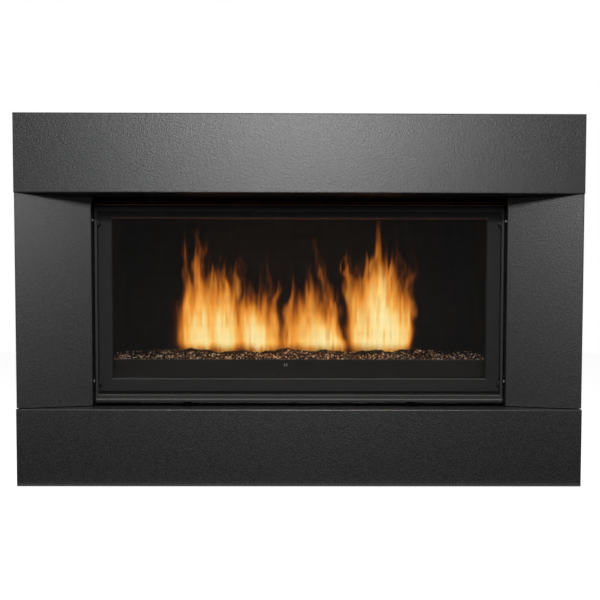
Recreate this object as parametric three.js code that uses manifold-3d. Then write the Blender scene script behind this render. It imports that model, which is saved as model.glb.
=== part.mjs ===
// A direct vent gas fireplace: a steel surround of four folded panels round a glazed, sealed
// firebox with its burner, vent collars and controls. Millimetres, +Z up, front towards -Y.
import * as THREE from 'three';
import { mergeVertices } from 'three/addons/utils/BufferGeometryUtils.js';
import Module from 'manifold-3d';

const wasm = await Module();
wasm.setup();

// Driving dimensions of the whole
const seat = 0.3; // left between two pieces that touch
const overrun = 6; // how far a cut runs past the face that it opens
const sheet = 1.5; // steel sheet of the panels, casing and firebox
const bend = 1; // inside radius of a fold
const bendSteps = 3;
const roundSides = 32;
const smallSides = 16;
const tinySides = 10;

const surround = { width: 1200, height: 788, depth: 64, footGap: 1.5, sill: 166.5, topHeight: 166.5 };
const throat = { half: 452.5, setback: 2, returnDepth: 30, headGap: 0.8, sillGap: 1.8, hem: 34 };
const bottomPanel = { flange: 62, footFlange: 40, padWidth: 34, padFoot: 60, padHeight: 60 };
const casing = {
  headDrop: 98, depth: 386, wallGap: 2, jambFace: 31.9, jambLeg: 24, baseFlange: 18, headerRise: 18.5,
};
const barrier = { sideGap: 4, footGap: 9.5, headGap: 13.5, standOff: 12, depth: 8 };
const door = { sideGap: 4.5, footGap: 31, headGap: 4.5, standOff: 36, depth: 12, face: 2, flangeGap: 2 };
const doorRim = { stile: 32, topRail: 37, bottomRail: 28.5 };
const firebox = { sideGap: 46.5, depth: 238, floor: 214, roofGap: 35, deckDrop: 43 };
const vent = { exhaustRadius: 50.8, intakeRadius: 84.1, behindFlange: 171, rise: 60, wall: 1.5 };

// Places that follow from them
const halfWidth = surround.width / 2;
const throatHead = surround.height - surround.topHeight;
const casingTop = surround.height - casing.headDrop;
const throatDepth = surround.depth - throat.setback;
const jambInner = throat.half + sheet + seat;
const casingInner = jambInner + casing.jambFace + seat;
const casingHalf = casingInner + sheet;
const casingFront = surround.depth + casing.wallGap;
const jambFront = casingFront + sheet + seat;
const casingBack = casingFront + casing.depth;
const barrierFront = surround.depth + barrier.standOff;
const barrierBack = barrierFront + barrier.depth;
const barrierHalf = throat.half - barrier.sideGap;
const barrierFoot = surround.sill + barrier.footGap;
const barrierHead = throatHead - barrier.headGap;
const doorFront = surround.depth + door.standOff;
const doorBack = doorFront + door.depth;
const doorHalf = throat.half - door.sideGap;
const doorFoot = surround.sill + door.footGap;
const doorHead = throatHead - door.headGap;
const windowHalf = doorHalf - doorRim.stile;
const windowFoot = doorFoot + doorRim.bottomRail;
const windowHead = doorHead - doorRim.topRail;
const flangeFront = doorBack + door.flangeGap;
const flangeBack = flangeFront + sheet;
const fireboxHalf = casingInner - firebox.sideGap;
const fireboxRoof = casingTop - firebox.roofGap;
const fireboxBack = flangeFront + firebox.depth;
const ventY = flangeFront + vent.behindFlange;
const deckTop = firebox.floor - firebox.deckDrop - seat;
const headerFoot = throatHead + casing.headerRise;
const casingRoof = casingTop + seat + sheet;
const gasInlet = { y: 190, z: 75, radius: 10.5, stub: 32 };

// Finishes
const finish = (color, roughness, metalness) => (
  new THREE.MeshStandardMaterial({ color, roughness, metalness }));
const charcoalPowderCoat = finish(0x3c3c3d, 0.62, 0.1);
const blackPaint = finish(0x161616, 0.7, 0.1);
const galvanisedSteel = finish(0x9a9d9f, 0.45, 0.85);
const zincPlate = finish(0xb8b9b6, 0.35, 0.9);
const stainlessSteel = finish(0xa9a9a7, 0.3, 0.9);
const ceramicGlass = finish(0x202224, 0.05, 0);
const ropeGasket = finish(0x4a4845, 0.95, 0);
const bronzeGlass = finish(0x4d3423, 0.25, 0);
const brass = finish(0xb08d4a, 0.35, 0.9);
const castAluminium = finish(0x8f9294, 0.5, 0.8);
const blackNylon = finish(0x1a1a1b, 0.55, 0);
const redNylon = finish(0x8c1d18, 0.5, 0);
const whiteCeramic = finish(0xe6e2d8, 0.4, 0);

// Solids: a geometry becomes a closed solid that can be joined and cut
function solidOf(geometry) {
  const bare = geometry.clone();
  bare.deleteAttribute('normal');
  bare.deleteAttribute('uv');
  const merged = mergeVertices(bare);
  return new wasm.Manifold(new wasm.Mesh({
    numProp: 3,
    vertProperties: new Float32Array(merged.attributes.position.array),
    triVerts: new Uint32Array(merged.index.array),
  }));
}

function geometryOf(solid) {
  const mesh = solid.getMesh();
  const geometry = new THREE.BufferGeometry();
  geometry.setAttribute('position', new THREE.BufferAttribute(mesh.vertProperties, mesh.numProp));
  geometry.setIndex(new THREE.BufferAttribute(mesh.triVerts, 1));
  const faceted = geometry.toNonIndexed();
  faceted.computeVertexNormals();
  return faceted;
}

const join = (first, ...rest) => rest.reduce((whole, piece) => whole.add(piece), first);
const cut = (first, ...rest) => rest.reduce((whole, piece) => whole.subtract(piece), first);

// A block from its lowest and highest place along each axis
function block([x0, x1], [y0, y1], [z0, z1]) {
  const geometry = new THREE.BoxGeometry(x1 - x0, y1 - y0, z1 - z0);
  geometry.translate((x0 + x1) / 2, (y0 + y1) / 2, (z0 + z1) / 2);
  return solidOf(geometry);
}

// The axes are taken in turn: an outline along X holds y and z, along Y z and x, along Z x and y
const unit = { x: new THREE.Vector3(1, 0, 0), y: new THREE.Vector3(0, 1, 0), z: new THREE.Vector3(0, 0, 1) };
const turnTo = {
  x: new THREE.Matrix4().makeBasis(unit.y, unit.z, unit.x),
  y: new THREE.Matrix4().makeBasis(unit.z, unit.x, unit.y),
  z: new THREE.Matrix4(),
};

function extrude(axis, outline, [from, to]) {
  const shape = new THREE.Shape(outline.map(([u, v]) => new THREE.Vector2(u, v)));
  const geometry = new THREE.ExtrudeGeometry(shape, { depth: to - from, bevelEnabled: false, steps: 1 });
  geometry.translate(0, 0, from);
  geometry.applyMatrix4(turnTo[axis]);
  return solidOf(geometry);
}

// A turned piece: its profile holds radius and place along the axis, from the axis back to it or closed
function turned(axis, profile, sides = roundSides) {
  const points = profile.map(([radius, along]) => new THREE.Vector2(radius, along));
  const geometry = new THREE.LatheGeometry(points, sides);
  geometry.applyMatrix4(new THREE.Matrix4().makeRotationX(Math.PI / 2));
  geometry.applyMatrix4(turnTo[axis]);
  const solid = solidOf(geometry);
  if (solid.volume() > 0) return solid;
  return turned(axis, [...profile].reverse(), sides);
}

const rod = (axis, radius, [from, to], sides) => (
  turned(axis, [[0, from], [radius, from], [radius, to], [0, to]], sides)
);

const ring = (radius, sides = roundSides) => Array.from({ length: sides }, (unused, i) => {
  const angle = 2 * Math.PI * i / sides;
  return [radius * Math.cos(angle), radius * Math.sin(angle)];
});

// Both faces of a folded sheet: the line is one face, and the sheet lies on its left
function foldedFaces(line, thickness = sheet) {
  const near = [];
  const far = [];
  const heading = line.slice(1).map(([u, v], i) => (
    new THREE.Vector2(u - line[i][0], v - line[i][1]).normalize()));
  const left = heading.map((d) => new THREE.Vector2(-d.y, d.x));
  line.forEach(([u, v], i) => {
    const point = new THREE.Vector2(u, v);
    if (i === 0 || i === line.length - 1) {
      const side = left[Math.min(i, left.length - 1)];
      near.push(point);
      far.push(point.clone().addScaledVector(side, thickness));
      return;
    }
    const [a, b] = [left[i - 1], left[i]];
    const way = Math.sign(heading[i - 1].cross(heading[i]));
    const nearRadius = way > 0 ? bend + thickness : bend;
    const farRadius = nearRadius - way * thickness;
    const centre = point.clone().addScaledVector(a.clone().add(b), way * nearRadius / (1 + a.dot(b)));
    const sweep = Math.atan2(a.cross(b), a.dot(b));
    for (let step = 0; step <= bendSteps; step += 1) {
      const side = a.clone().rotateAround(new THREE.Vector2(), sweep * step / bendSteps);
      near.push(centre.clone().addScaledVector(side, -way * nearRadius));
      far.push(centre.clone().addScaledVector(side, -way * farRadius));
    }
  });
  return { near: near.map((p) => [p.x, p.y]), far: far.map((p) => [p.x, p.y]) };
}

function folded(axis, line, range, thickness = sheet) {
  const { near, far } = foldedFaces(line, thickness);
  return extrude(axis, [...near, ...far.reverse()], range);
}

const mirrored = (line) => line.map(([x, y]) => [-x, y]).reverse();

// A tube or wire along a path, with round bends at the path's corners
function alongPath(path, radius, steps, sides) {
  const shape = new THREE.Shape(ring(radius, sides).map(([u, v]) => new THREE.Vector2(u, v)));
  return solidOf(new THREE.ExtrudeGeometry(shape, { extrudePath: path, steps, bevelEnabled: false }));
}

function bentPath(corners, radius) {
  const points = corners.map((corner) => new THREE.Vector3(...corner));
  const path = new THREE.CurvePath();
  let from = points[0];
  for (let i = 1; i < points.length - 1; i += 1) {
    const before = points[i].clone().add(points[i - 1].clone().sub(points[i]).setLength(radius));
    const after = points[i].clone().add(points[i + 1].clone().sub(points[i]).setLength(radius));
    path.add(new THREE.LineCurve3(from, before));
    path.add(new THREE.QuadraticBezierCurve3(before, points[i], after));
    from = after;
  }
  path.add(new THREE.LineCurve3(from, points[points.length - 1]));
  return path;
}

// The scene graph: each group stands at its own reference point in the fireplace
const fireplace = new THREE.Group();
fireplace.position.y = -casingBack / 2;

function groupAt(x, y, z) {
  const group = new THREE.Group();
  group.position.set(x, y, z);
  fireplace.add(group);
  return group;
}

// Adds a piece that is drawn in the fireplace's own frame to a group that stands elsewhere
function add(group, name, solid, material) {
  const geometry = geometryOf(solid);
  if (group !== fireplace) geometry.translate(-group.position.x, -group.position.y, -group.position.z);
  const mesh = new THREE.Mesh(geometry, material);
  mesh.name = name;
  group.add(mesh);
  return mesh;
}

// Adds a piece that is drawn about its own origin
function place(group, name, solid, material, [x, y, z]) {
  const mesh = new THREE.Mesh(geometryOf(solid), material);
  mesh.name = name;
  mesh.position.set(x, y, z);
  mesh.position.sub(group === fireplace ? new THREE.Vector3() : group.position);
  group.add(mesh);
  return mesh;
}

const sides = [['left', -1], ['right', 1]];
const span = (half, from = 0) => [from - half, from + half];
const sided = (side, a, b) => (side > 0 ? [a, b] : [-b, -a]);

// Surround: top panel, a folded tray whose rear hem stands against the header rail
const surroundGroup = groupAt(0, 0, 0);
const topLine = [
  [surround.depth, surround.height],
  [0, surround.height],
  [0, throatHead],
  [throatDepth, throatHead],
  [throatDepth, throatHead + throat.hem],
];
const midOutline = (line) => foldedFaces(line, sheet / 2).far;
const topEnd = midOutline([
  [surround.depth, surround.height], [0, surround.height], [0, throatHead], [surround.depth, throatHead],
]);
const endPlates = (outline) => sides.map(([, side]) => (
  extrude('x', outline, sided(side, halfWidth - sheet, halfWidth))));
add(surroundGroup, 'top_panel', join(
  folded('x', topLine, span(halfWidth)),
  ...endPlates(topEnd),
), charcoalPowderCoat);

// Surround: slanted side panels, each screwed through its inner return to the jamb behind it
const sidePanelLine = [
  [throat.half, throatDepth + throat.returnDepth],
  [throat.half, throatDepth],
  [halfWidth, 0],
  [halfWidth, surround.depth],
];
const sidePanelRange = [surround.sill + throat.sillGap, throatHead - throat.headGap];
const panelScrew = {
  headRadius: 4.2, headHeight: 1.4, crownShare: 0.8, rimShare: 0.4,
  shankRadius: 2, shankLength: 7, recess: 1.1, recessDepth: 0.8,
};
const screwInset = { upper: 48.5, lower: 54.5 };
const screwHeights = { upper: throatHead - screwInset.upper, lower: surround.sill + screwInset.lower };
const screwSetback = 15; // from the throat's edge back along the return
const screwHole = { radius: 2.4 };
const screwY = throatDepth + screwSetback;

function throughHoles(side) {
  return Object.values(screwHeights).map((z) => rod('x', screwHole.radius,
    sided(side, throat.half - overrun, jambInner + sheet + overrun), tinySides).translate([0, screwY, z]));
}

for (const [hand, side] of sides) {
  const line = side > 0 ? sidePanelLine : mirrored(sidePanelLine);
  const panel = cut(folded('z', line, sidePanelRange), ...throughHoles(side));
  add(surroundGroup, `side_panel_${hand}`, panel, charcoalPowderCoat);
  for (const [level, z] of Object.entries(screwHeights)) {
    const screw = cut(
      turned('x', [
        [0, -panelScrew.headHeight],
        [panelScrew.headRadius * panelScrew.crownShare, -panelScrew.headHeight],
        [panelScrew.headRadius, -panelScrew.headHeight * panelScrew.rimShare],
        [panelScrew.headRadius, 0],
        [panelScrew.shankRadius, 0],
        [panelScrew.shankRadius, panelScrew.shankLength],
        [0, panelScrew.shankLength],
      ], tinySides),
      extrude('x', ring(panelScrew.recess, 6),
        [-panelScrew.headHeight - overrun, panelScrew.recessDepth - panelScrew.headHeight]),
    );
    const mesh = place(surroundGroup, `panel_screw_${hand}_${level}`, screw, zincPlate, [
      side * (throat.half - seat), screwY, z,
    ]);
    mesh.rotation.z = side > 0 ? 0 : Math.PI;
  }
}

// Surround: bottom panel, which pulls off its magnets to open the controls
const panelGroup = groupAt(0, 0, surround.footGap);
const bottomLine = [
  [bottomPanel.flange, surround.sill],
  [0, surround.sill],
  [0, surround.footGap],
  [bottomPanel.footFlange, surround.footGap],
];
const bottomEnd = midOutline([
  [surround.depth, surround.sill], [0, surround.sill],
  [0, surround.footGap], [surround.depth, surround.footGap],
]);
const magnet = { depth: 4, width: 22, height: 34 };
const padBack = jambFront - seat - magnet.depth - seat;
const padX = jambInner + casing.jambFace / 2;
const padMiddle = bottomPanel.padFoot + bottomPanel.padHeight / 2;
function panelPad(side) {
  const half = bottomPanel.padWidth / 2;
  const line = [[padX + half, sheet / 2], [padX + half, padBack], [padX - half, padBack]];
  const outline = side > 0 ? line : mirrored(line);
  return folded('z', outline, [bottomPanel.padFoot, bottomPanel.padFoot + bottomPanel.padHeight]);
}
add(panelGroup, 'bottom_panel', join(
  folded('x', bottomLine, span(halfWidth)),
  ...endPlates(bottomEnd),
  ...sides.map(([, side]) => panelPad(side)),
), charcoalPowderCoat);

// Casing: a wrapped shell on a base tray under a top sheet
const casingGroup = groupAt(0, casingFront, 0);
const shellLine = [
  [casingHalf, casingFront], [casingHalf, casingBack],
  [-casingHalf, casingBack], [-casingHalf, casingFront],
];
add(casingGroup, 'casing_shell', cut(
  folded('z', shellLine, [0, casingTop]),
  rod('x', gasInlet.radius + seat, [-casingHalf - overrun, -casingInner + overrun], smallSides)
    .translate([0, gasInlet.y, gasInlet.z]),
), galvanisedSteel);

const baseBack = casingBack - sheet - 2 * seat;
add(casingGroup, 'casing_base', cut(
  block(span(casingInner - seat), [casingFront, baseBack], [0, casing.baseFlange]),
  block(span(casingInner - seat - sheet), [casingFront + sheet, baseBack - sheet],
    [sheet, casing.baseFlange + overrun]),
), galvanisedSteel);

// Casing: top sheet with the vent's hole and the two folded stand-offs welded to it
const standOff = { sideInset: 128, half: 30, height: 53, inset: 30 };
const standOffX = casingHalf - standOff.sideInset;
const topPlate = cut(
  block(span(casingHalf), [throatDepth + seat, casingBack], [casingTop + seat, casingRoof]),
  rod('z', vent.intakeRadius - vent.wall, [casingTop - overrun, casingRoof + overrun])
    .translate([0, ventY, 0]),
);
const standOffs = sides.map(([, side]) => folded('y', [
  [casingRoof - sheet / 2, side * standOffX - standOff.half],
  [casingRoof + standOff.height, side * standOffX - standOff.half],
  [casingRoof + standOff.height, side * standOffX + standOff.half],
  [casingRoof - sheet / 2, side * standOffX + standOff.half],
], [casingFront + standOff.inset, casingBack - standOff.inset]));
add(casingGroup, 'casing_top', join(topPlate, ...standOffs), galvanisedSteel);

// Casing: jambs, header and sill frame the opening that the surround leaves
const jambFoot = sheet + seat;
for (const [hand, side] of sides) {
  const line = [
    [jambInner, flangeFront - seat],
    [jambInner, jambFront],
    [jambInner + casing.jambFace - sheet - seat, jambFront],
    [jambInner + casing.jambFace - sheet - seat, casingFront + casing.jambLeg],
  ];
  const jamb = folded('z', side > 0 ? line : mirrored(line), [jambFoot, headerFoot - seat]);
  add(casingGroup, `jamb_${hand}`, cut(jamb, ...throughHoles(side)), blackPaint);
}
add(casingGroup, 'header_rail', folded('x', [
  [flangeFront - seat - sheet, casingTop],
  [throatDepth + seat, casingTop],
  [throatDepth + seat, headerFoot],
  [flangeFront - seat, headerFoot],
], span(casingInner - seat)), blackPaint);

const doorSpring = {
  inset: 198, setback: 6, coilRadius: 4.2, wireRadius: 0.8, turns: 9, length: 54, stepsPerTurn: 8, sides: 5,
};
const doorSpringX = doorHalf - doorSpring.inset;
const sill = { height: 17, depth: 24, notch: 14 };
const sillTop = surround.sill - sheet;
add(casingGroup, 'sill_rail', cut(
  folded('x', [
    [casingFront + sill.depth, sillTop],
    [casingFront, sillTop],
    [casingFront, sillTop - sill.height],
    [casingFront + sill.depth, sillTop - sill.height],
  ], span(jambInner - seat)),
  ...sides.map(([, side]) => block(span(sill.notch, side * doorSpringX),
    [casingFront + 2 * sheet, casingFront + sill.depth + overrun],
    [sillTop - sill.height - overrun, sillTop + overrun])),
), blackPaint);

// Casing: nailing flanges, as deep behind the wall as its board is thick
const nailing = {
  board: 13, width: 32, leg: 33, foot: 60, headDrop: 50, slots: 5, slotLong: 20, slotWide: 6, slotShare: 0.6,
};
const nailingHeight = casingTop - nailing.headDrop - nailing.foot;
const nailingFront = surround.depth + nailing.board;
for (const [hand, side] of sides) {
  const inner = casingHalf + seat;
  const line = [
    [inner, nailingFront + nailing.leg], [inner, nailingFront], [inner + nailing.width, nailingFront],
  ];
  const range = [nailing.foot, nailing.foot + nailingHeight];
  const flange = folded('z', side > 0 ? line : mirrored(line), range);
  const slots = Array.from({ length: nailing.slots }, (unused, i) => {
    const z = nailing.foot + nailingHeight * (i + 0.5) / nailing.slots;
    return block(span(nailing.slotWide / 2, side * (inner + nailing.width * nailing.slotShare)),
      [nailingFront - overrun, nailingFront + sheet + overrun], span(nailing.slotLong / 2, z));
  });
  add(casingGroup, `nailing_flange_${hand}`, cut(flange, ...slots), galvanisedSteel);
}

// Casing: the magnets that hold the bottom panel
for (const [hand, side] of sides) {
  const body = block(span(magnet.width / 2), [0, magnet.depth], span(magnet.height / 2));
  place(casingGroup, `panel_magnet_${hand}`, body, zincPlate, [
    side * padX, padBack + seat, padMiddle,
  ]);
}

// Firebox: its front flange carries the pins that the door hangs on and the door springs' anchors
const fireboxGroup = groupAt(0, flangeFront, firebox.floor);
const hinge = {
  inset: 118, setback: 7, rise: 6, pinRadius: 3, earRadius: 5, earThickness: 3,
  hookHalf: 4, hookWall: 3, play: 0.4,
};
const hingeX = doorHalf - hinge.inset;
const hingeY = doorFront + hinge.setback;
const hingeZ = doorHead + hinge.rise;
const seal = { lip: 1, glassEdge: 18, glassThickness: 5, gasketInset: 2, gasketWidth: 9 };
const springY = doorFront + doorSpring.setback;
const tab = { drop: 9, half: 1.2, depth: 4 };
const springTop = doorFoot - tab.drop - seat - doorSpring.wireRadius;
const springFoot = springTop - doorSpring.length;
const anchor = { strapHalf: 8, earHalf: 1.5, earHeight: 8 };

const flangeFoot = deckTop + seat;
const flangeHead = casingTop - sheet - 2 * seat;
const hingeEars = sides.map(([, side]) => {
  const inner = hingeX + hinge.hookHalf + hinge.play;
  const pinStart = hingeX - hinge.hookHalf - hinge.play;
  const range = sided(side, inner, inner + hinge.earThickness);
  return join(
    block(range, [hingeY, flangeBack], span(hinge.earRadius, hingeZ)),
    rod('x', hinge.earRadius, range, tinySides).translate([0, hingeY, hingeZ]),
    rod('x', hinge.pinRadius, sided(side, pinStart, inner + hinge.earThickness / 2), tinySides)
      .translate([0, hingeY, hingeZ]),
  );
});
const springAnchors = sides.map(([, side]) => {
  const top = springFoot - doorSpring.wireRadius - seat;
  return join(
    block(span(anchor.strapHalf, side * doorSpringX), [flangeFront, flangeBack],
      [top - anchor.earHeight, flangeFoot + overrun]),
    block(span(anchor.earHalf, side * doorSpringX), [springY - tab.depth, flangeBack],
      [top - anchor.earHeight, top]),
  );
});
add(fireboxGroup, 'firebox_flange', join(
  cut(
    block(span(casingInner - 2 * seat), [flangeFront, flangeBack], [flangeFoot, flangeHead]),
    block(span(windowHalf + seal.lip), [flangeFront - overrun, flangeBack + overrun],
      [windowFoot - seal.lip, windowHead + seal.lip]),
  ),
  ...hingeEars,
  ...springAnchors,
), blackPaint);

// Firebox: the welded box behind the flange, open to the front, with its exhaust port and burner hole
const burner = {
  y: 126, z: 33, radius: 12.5, wall: 1.5, leftInset: 130, rightInset: 155, riserInset: 110,
  riserDrop: 10, ports: 12,
};
const burnerLeft = burner.leftInset - fireboxHalf;
const burnerRight = fireboxHalf - burner.rightInset;
const riserX = burnerLeft + burner.riserInset;
const port = { half: 14, width: 2.4 };
const burnerY = flangeFront + burner.y;
const burnerZ = firebox.floor + burner.z;
const riserHole = (from, to) => rod('z', burner.radius + 2 * seat, [from, to], smallSides)
  .translate([riserX, burnerY, 0]);
const fireboxFront = flangeBack + seat;
add(fireboxGroup, 'firebox', cut(
  block(span(fireboxHalf + sheet), [fireboxFront, fireboxBack + sheet],
    [firebox.floor - sheet, fireboxRoof + sheet]),
  block(span(fireboxHalf), [fireboxFront - overrun, fireboxBack], [firebox.floor, fireboxRoof]),
  rod('z', vent.exhaustRadius, [fireboxRoof - overrun, fireboxRoof + sheet + overrun])
    .translate([0, ventY, 0]),
  riserHole(firebox.floor - sheet - overrun, firebox.floor + overrun),
), blackPaint);

const baffle = { sideGap: 160, depth: 162, drop: 38 };
add(fireboxGroup, 'baffle', folded('x', [
  [fireboxBack - baffle.depth, fireboxRoof - seat],
  [fireboxBack - baffle.depth, fireboxRoof - baffle.drop],
  [fireboxBack - seat, fireboxRoof - baffle.drop],
], span(fireboxHalf - baffle.sideGap)), blackPaint);

// Firebox: the vent restrictor, a plate that slides in a shallow track across the exhaust port
const track = { left: 70, right: 190, half: 60, depth: 6 };
const restrictor = { left: 78, tongue: 60, tongueHalf: 8, tab: 10 };
const trackFoot = fireboxRoof - seat - track.depth;
add(fireboxGroup, 'restrictor_track', cut(
  block([-track.left, track.right], span(track.half, ventY), [trackFoot, fireboxRoof - seat]),
  block([sheet - track.left, track.right + overrun], span(track.half - sheet, ventY),
    [trackFoot + sheet, fireboxRoof + overrun]),
  rod('z', vent.exhaustRadius, [trackFoot - overrun, fireboxRoof]).translate([0, ventY, 0]),
), stainlessSteel);
const plateFoot = trackFoot + sheet + seat;
const plateRange = [plateFoot, plateFoot + sheet];
const tongueEnd = track.right + restrictor.tongue;
add(fireboxGroup, 'restrictor_plate', join(
  block([restrictor.left, track.right], span(track.half - sheet - 2 * seat, ventY), plateRange),
  block([track.right - sheet, tongueEnd], span(restrictor.tongueHalf, ventY), plateRange),
  block([tongueEnd - sheet, tongueEnd], span(restrictor.tongueHalf, ventY),
    [plateFoot - restrictor.tab, plateFoot + sheet]),
), stainlessSteel);

// Firebox: the deck closes the air space above the control compartment
const feed = { radius: 4.75, valveGap: 31, bend: 12, steps: 30 };
const valve = {
  inset: 141.5, width: 110, depth: 78, foot: 52, head: 128, boss: 11, bossReach: 10,
  coil: 15, coilReach: 26, chamfer: 8,
};
const valveLeft = valve.inset - casingInner;
const valveRight = valveLeft + valve.width;
const feedX = valveLeft - feed.valveGap;
add(fireboxGroup, 'compartment_deck', cut(
  block(span(casingInner - seat), [flangeBack + seat, baseBack], [deckTop - sheet, deckTop]),
  rod('z', feed.radius + 2 * seat, [deckTop - sheet - overrun, deckTop + overrun], tinySides)
    .translate([feedX, burnerY, 0]),
), galvanisedSteel);

// Vent: two collars on one axis, exhaust inside, combustion air in the ring between them
const collar = { exhaustFlange: 64, intakeFlange: 100 };
function ventCollar(inner, flange, foot, head) {
  return turned('z', [
    [inner, foot], [flange, foot], [flange, foot + vent.wall], [inner + vent.wall, foot + vent.wall],
    [inner + vent.wall, head], [inner, head], [inner, foot],
  ]).translate([0, ventY, 0]);
}
add(fireboxGroup, 'exhaust_collar', ventCollar(vent.exhaustRadius, collar.exhaustFlange,
  fireboxRoof + sheet + seat, casingRoof + vent.rise), stainlessSteel);
add(casingGroup, 'intake_collar', ventCollar(vent.intakeRadius, collar.intakeFlange,
  casingRoof + seat, casingRoof + vent.rise), galvanisedSteel);

// Door: a folded frame that hangs by two hooks and holds the ceramic glass against the gasket
const doorGroup = groupAt(0, hingeY, hingeZ);
const cavity = doorFront + door.face;
const bevel = 2;
function taperedBlock([x0, x1], [y0, y1], [z0, z1], growth) {
  const geometry = new THREE.BoxGeometry(1, 1, 1);
  const position = geometry.attributes.position;
  for (let i = 0; i < position.count; i += 1) {
    const spread = position.getY(i) < 0 ? growth : 0;
    const [a, b, c] = [position.getX(i), position.getY(i), position.getZ(i)];
    const x = a < 0 ? x0 - spread : x1 + spread;
    position.setXYZ(i, x, b < 0 ? y0 : y1, c < 0 ? z0 - spread : z1 + spread);
  }
  return solidOf(geometry);
}
const hookRadius = hinge.pinRadius + hinge.play + hinge.hookWall;
const doorHooks = sides.map(([, side]) => {
  const range = span(hinge.hookHalf, side * hingeX);
  return cut(
    join(
      rod('x', hookRadius, range, smallSides).translate([0, hingeY, hingeZ]),
      block(range, [hingeY - hookRadius, hingeY - hinge.pinRadius - hinge.play],
        [doorHead - sheet / 2, hingeZ]),
    ),
    rod('x', hinge.pinRadius + hinge.play, [range[0] - overrun, range[1] + overrun], tinySides)
      .translate([0, hingeY, hingeZ]),
    block([range[0] - overrun, range[1] + overrun], [hingeY, hingeY + hookRadius + overrun],
      [hingeZ - hookRadius - overrun, hingeZ]),
    block([range[0] - overrun, range[1] + overrun], [hingeY - hinge.pinRadius, hingeY + overrun],
      [hingeZ - hookRadius - overrun, hingeZ - hinge.pinRadius]),
  );
});
const springTabs = sides.map(([, side]) => block(span(tab.half, side * doorSpringX),
  span(tab.depth, springY), [doorFoot - tab.drop, doorFoot + sheet / 2]));
add(doorGroup, 'door_frame', join(
  cut(
    block(span(doorHalf), [doorFront, doorBack], [doorFoot, doorHead]),
    block(span(doorHalf - sheet), [cavity, doorBack + overrun], [doorFoot + sheet, doorHead - sheet]),
    taperedBlock(span(windowHalf), [doorFront, cavity], [windowFoot, windowHead], bevel),
    block(span(windowHalf), [doorFront - overrun, cavity + overrun], [windowFoot, windowHead]),
  ),
  ...doorHooks,
  ...springTabs,
), blackPaint);

const glassFront = cavity + seat;
const glassBack = glassFront + seal.glassThickness;
const gasketFront = glassBack + seat;
add(doorGroup, 'door_glass', block(span(windowHalf + seal.glassEdge), [glassFront, glassBack],
  [windowFoot - seal.glassEdge, windowHead + seal.glassEdge]), ceramicGlass);
const gasketInner = seal.gasketInset;
const gasketOuter = seal.gasketInset + seal.gasketWidth;
add(doorGroup, 'door_gasket', cut(
  block(span(windowHalf + gasketOuter), [gasketFront, flangeFront - seat],
    [windowFoot - gasketOuter, windowHead + gasketOuter]),
  block(span(windowHalf + gasketInner), [gasketFront - overrun, flangeFront + overrun],
    [windowFoot - gasketInner, windowHead + gasketInner]),
), ropeGasket);
const retainerRange = span(windowHalf + seal.glassEdge);
const retainerDepth = [gasketFront, doorBack - seat];
add(doorGroup, 'glass_retainer_top', folded('x', [
  [retainerDepth[1], doorHead - sheet - seat],
  [retainerDepth[0], doorHead - sheet - seat],
  [retainerDepth[0], windowHead + gasketOuter + seat],
], retainerRange), zincPlate);
add(doorGroup, 'glass_retainer_bottom', folded('x', [
  [retainerDepth[0], windowFoot - gasketOuter - seat],
  [retainerDepth[0], doorFoot + sheet + seat],
  [retainerDepth[1], doorFoot + sheet + seat],
], retainerRange), zincPlate);

// Door: extension springs draw the door's foot back to the flange
class Helix extends THREE.Curve {
  constructor(radius, length, turns) {
    super();
    Object.assign(this, { radius, length, turns });
  }

  getPoint(share, target = new THREE.Vector3()) {
    const angle = 2 * Math.PI * this.turns * share;
    return target.set(this.radius * Math.cos(angle), this.radius * Math.sin(angle), this.length * share);
  }
}
for (const [hand, side] of sides) {
  const coil = new Helix(doorSpring.coilRadius, doorSpring.length, doorSpring.turns);
  const solid = alongPath(coil, doorSpring.wireRadius, doorSpring.turns * doorSpring.stepsPerTurn,
    doorSpring.sides);
  place(fireboxGroup, `door_spring_${hand}`, solid, stainlessSteel, [
    side * doorSpringX - doorSpring.coilRadius, springY, springFoot,
  ]);
}

// Safety barrier: a rim with a wire net, held on the door by four magnets
const barrierGroup = groupAt(0, barrierFront, barrierFoot);
const rim = { side: 5, rail: 15, lip: 5, lipProud: 1.5, magnetRadius: 4, magnetInset: 40 };
const magnetHeights = [barrierFoot + rim.magnetInset, barrierHead - rim.magnetInset];
const rimMagnets = sides.flatMap(([, side]) => magnetHeights.map(
  (z) => rod('y', rim.magnetRadius, [barrierBack - seat, doorFront - seat], tinySides)
    .translate([side * (barrierHalf - rim.side), 0, z])));
add(barrierGroup, 'barrier_frame', join(
  cut(
    block(span(barrierHalf), [barrierFront, barrierBack], [barrierFoot, barrierHead]),
    block(span(barrierHalf - rim.side), [barrierFront - overrun, barrierBack + overrun],
      [barrierFoot + rim.rail, barrierHead - rim.rail]),
  ),
  block(span(barrierHalf), span(rim.lipProud, barrierFront), [barrierFoot, barrierFoot + rim.lip]),
  ...rimMagnets,
), blackPaint);

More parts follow.
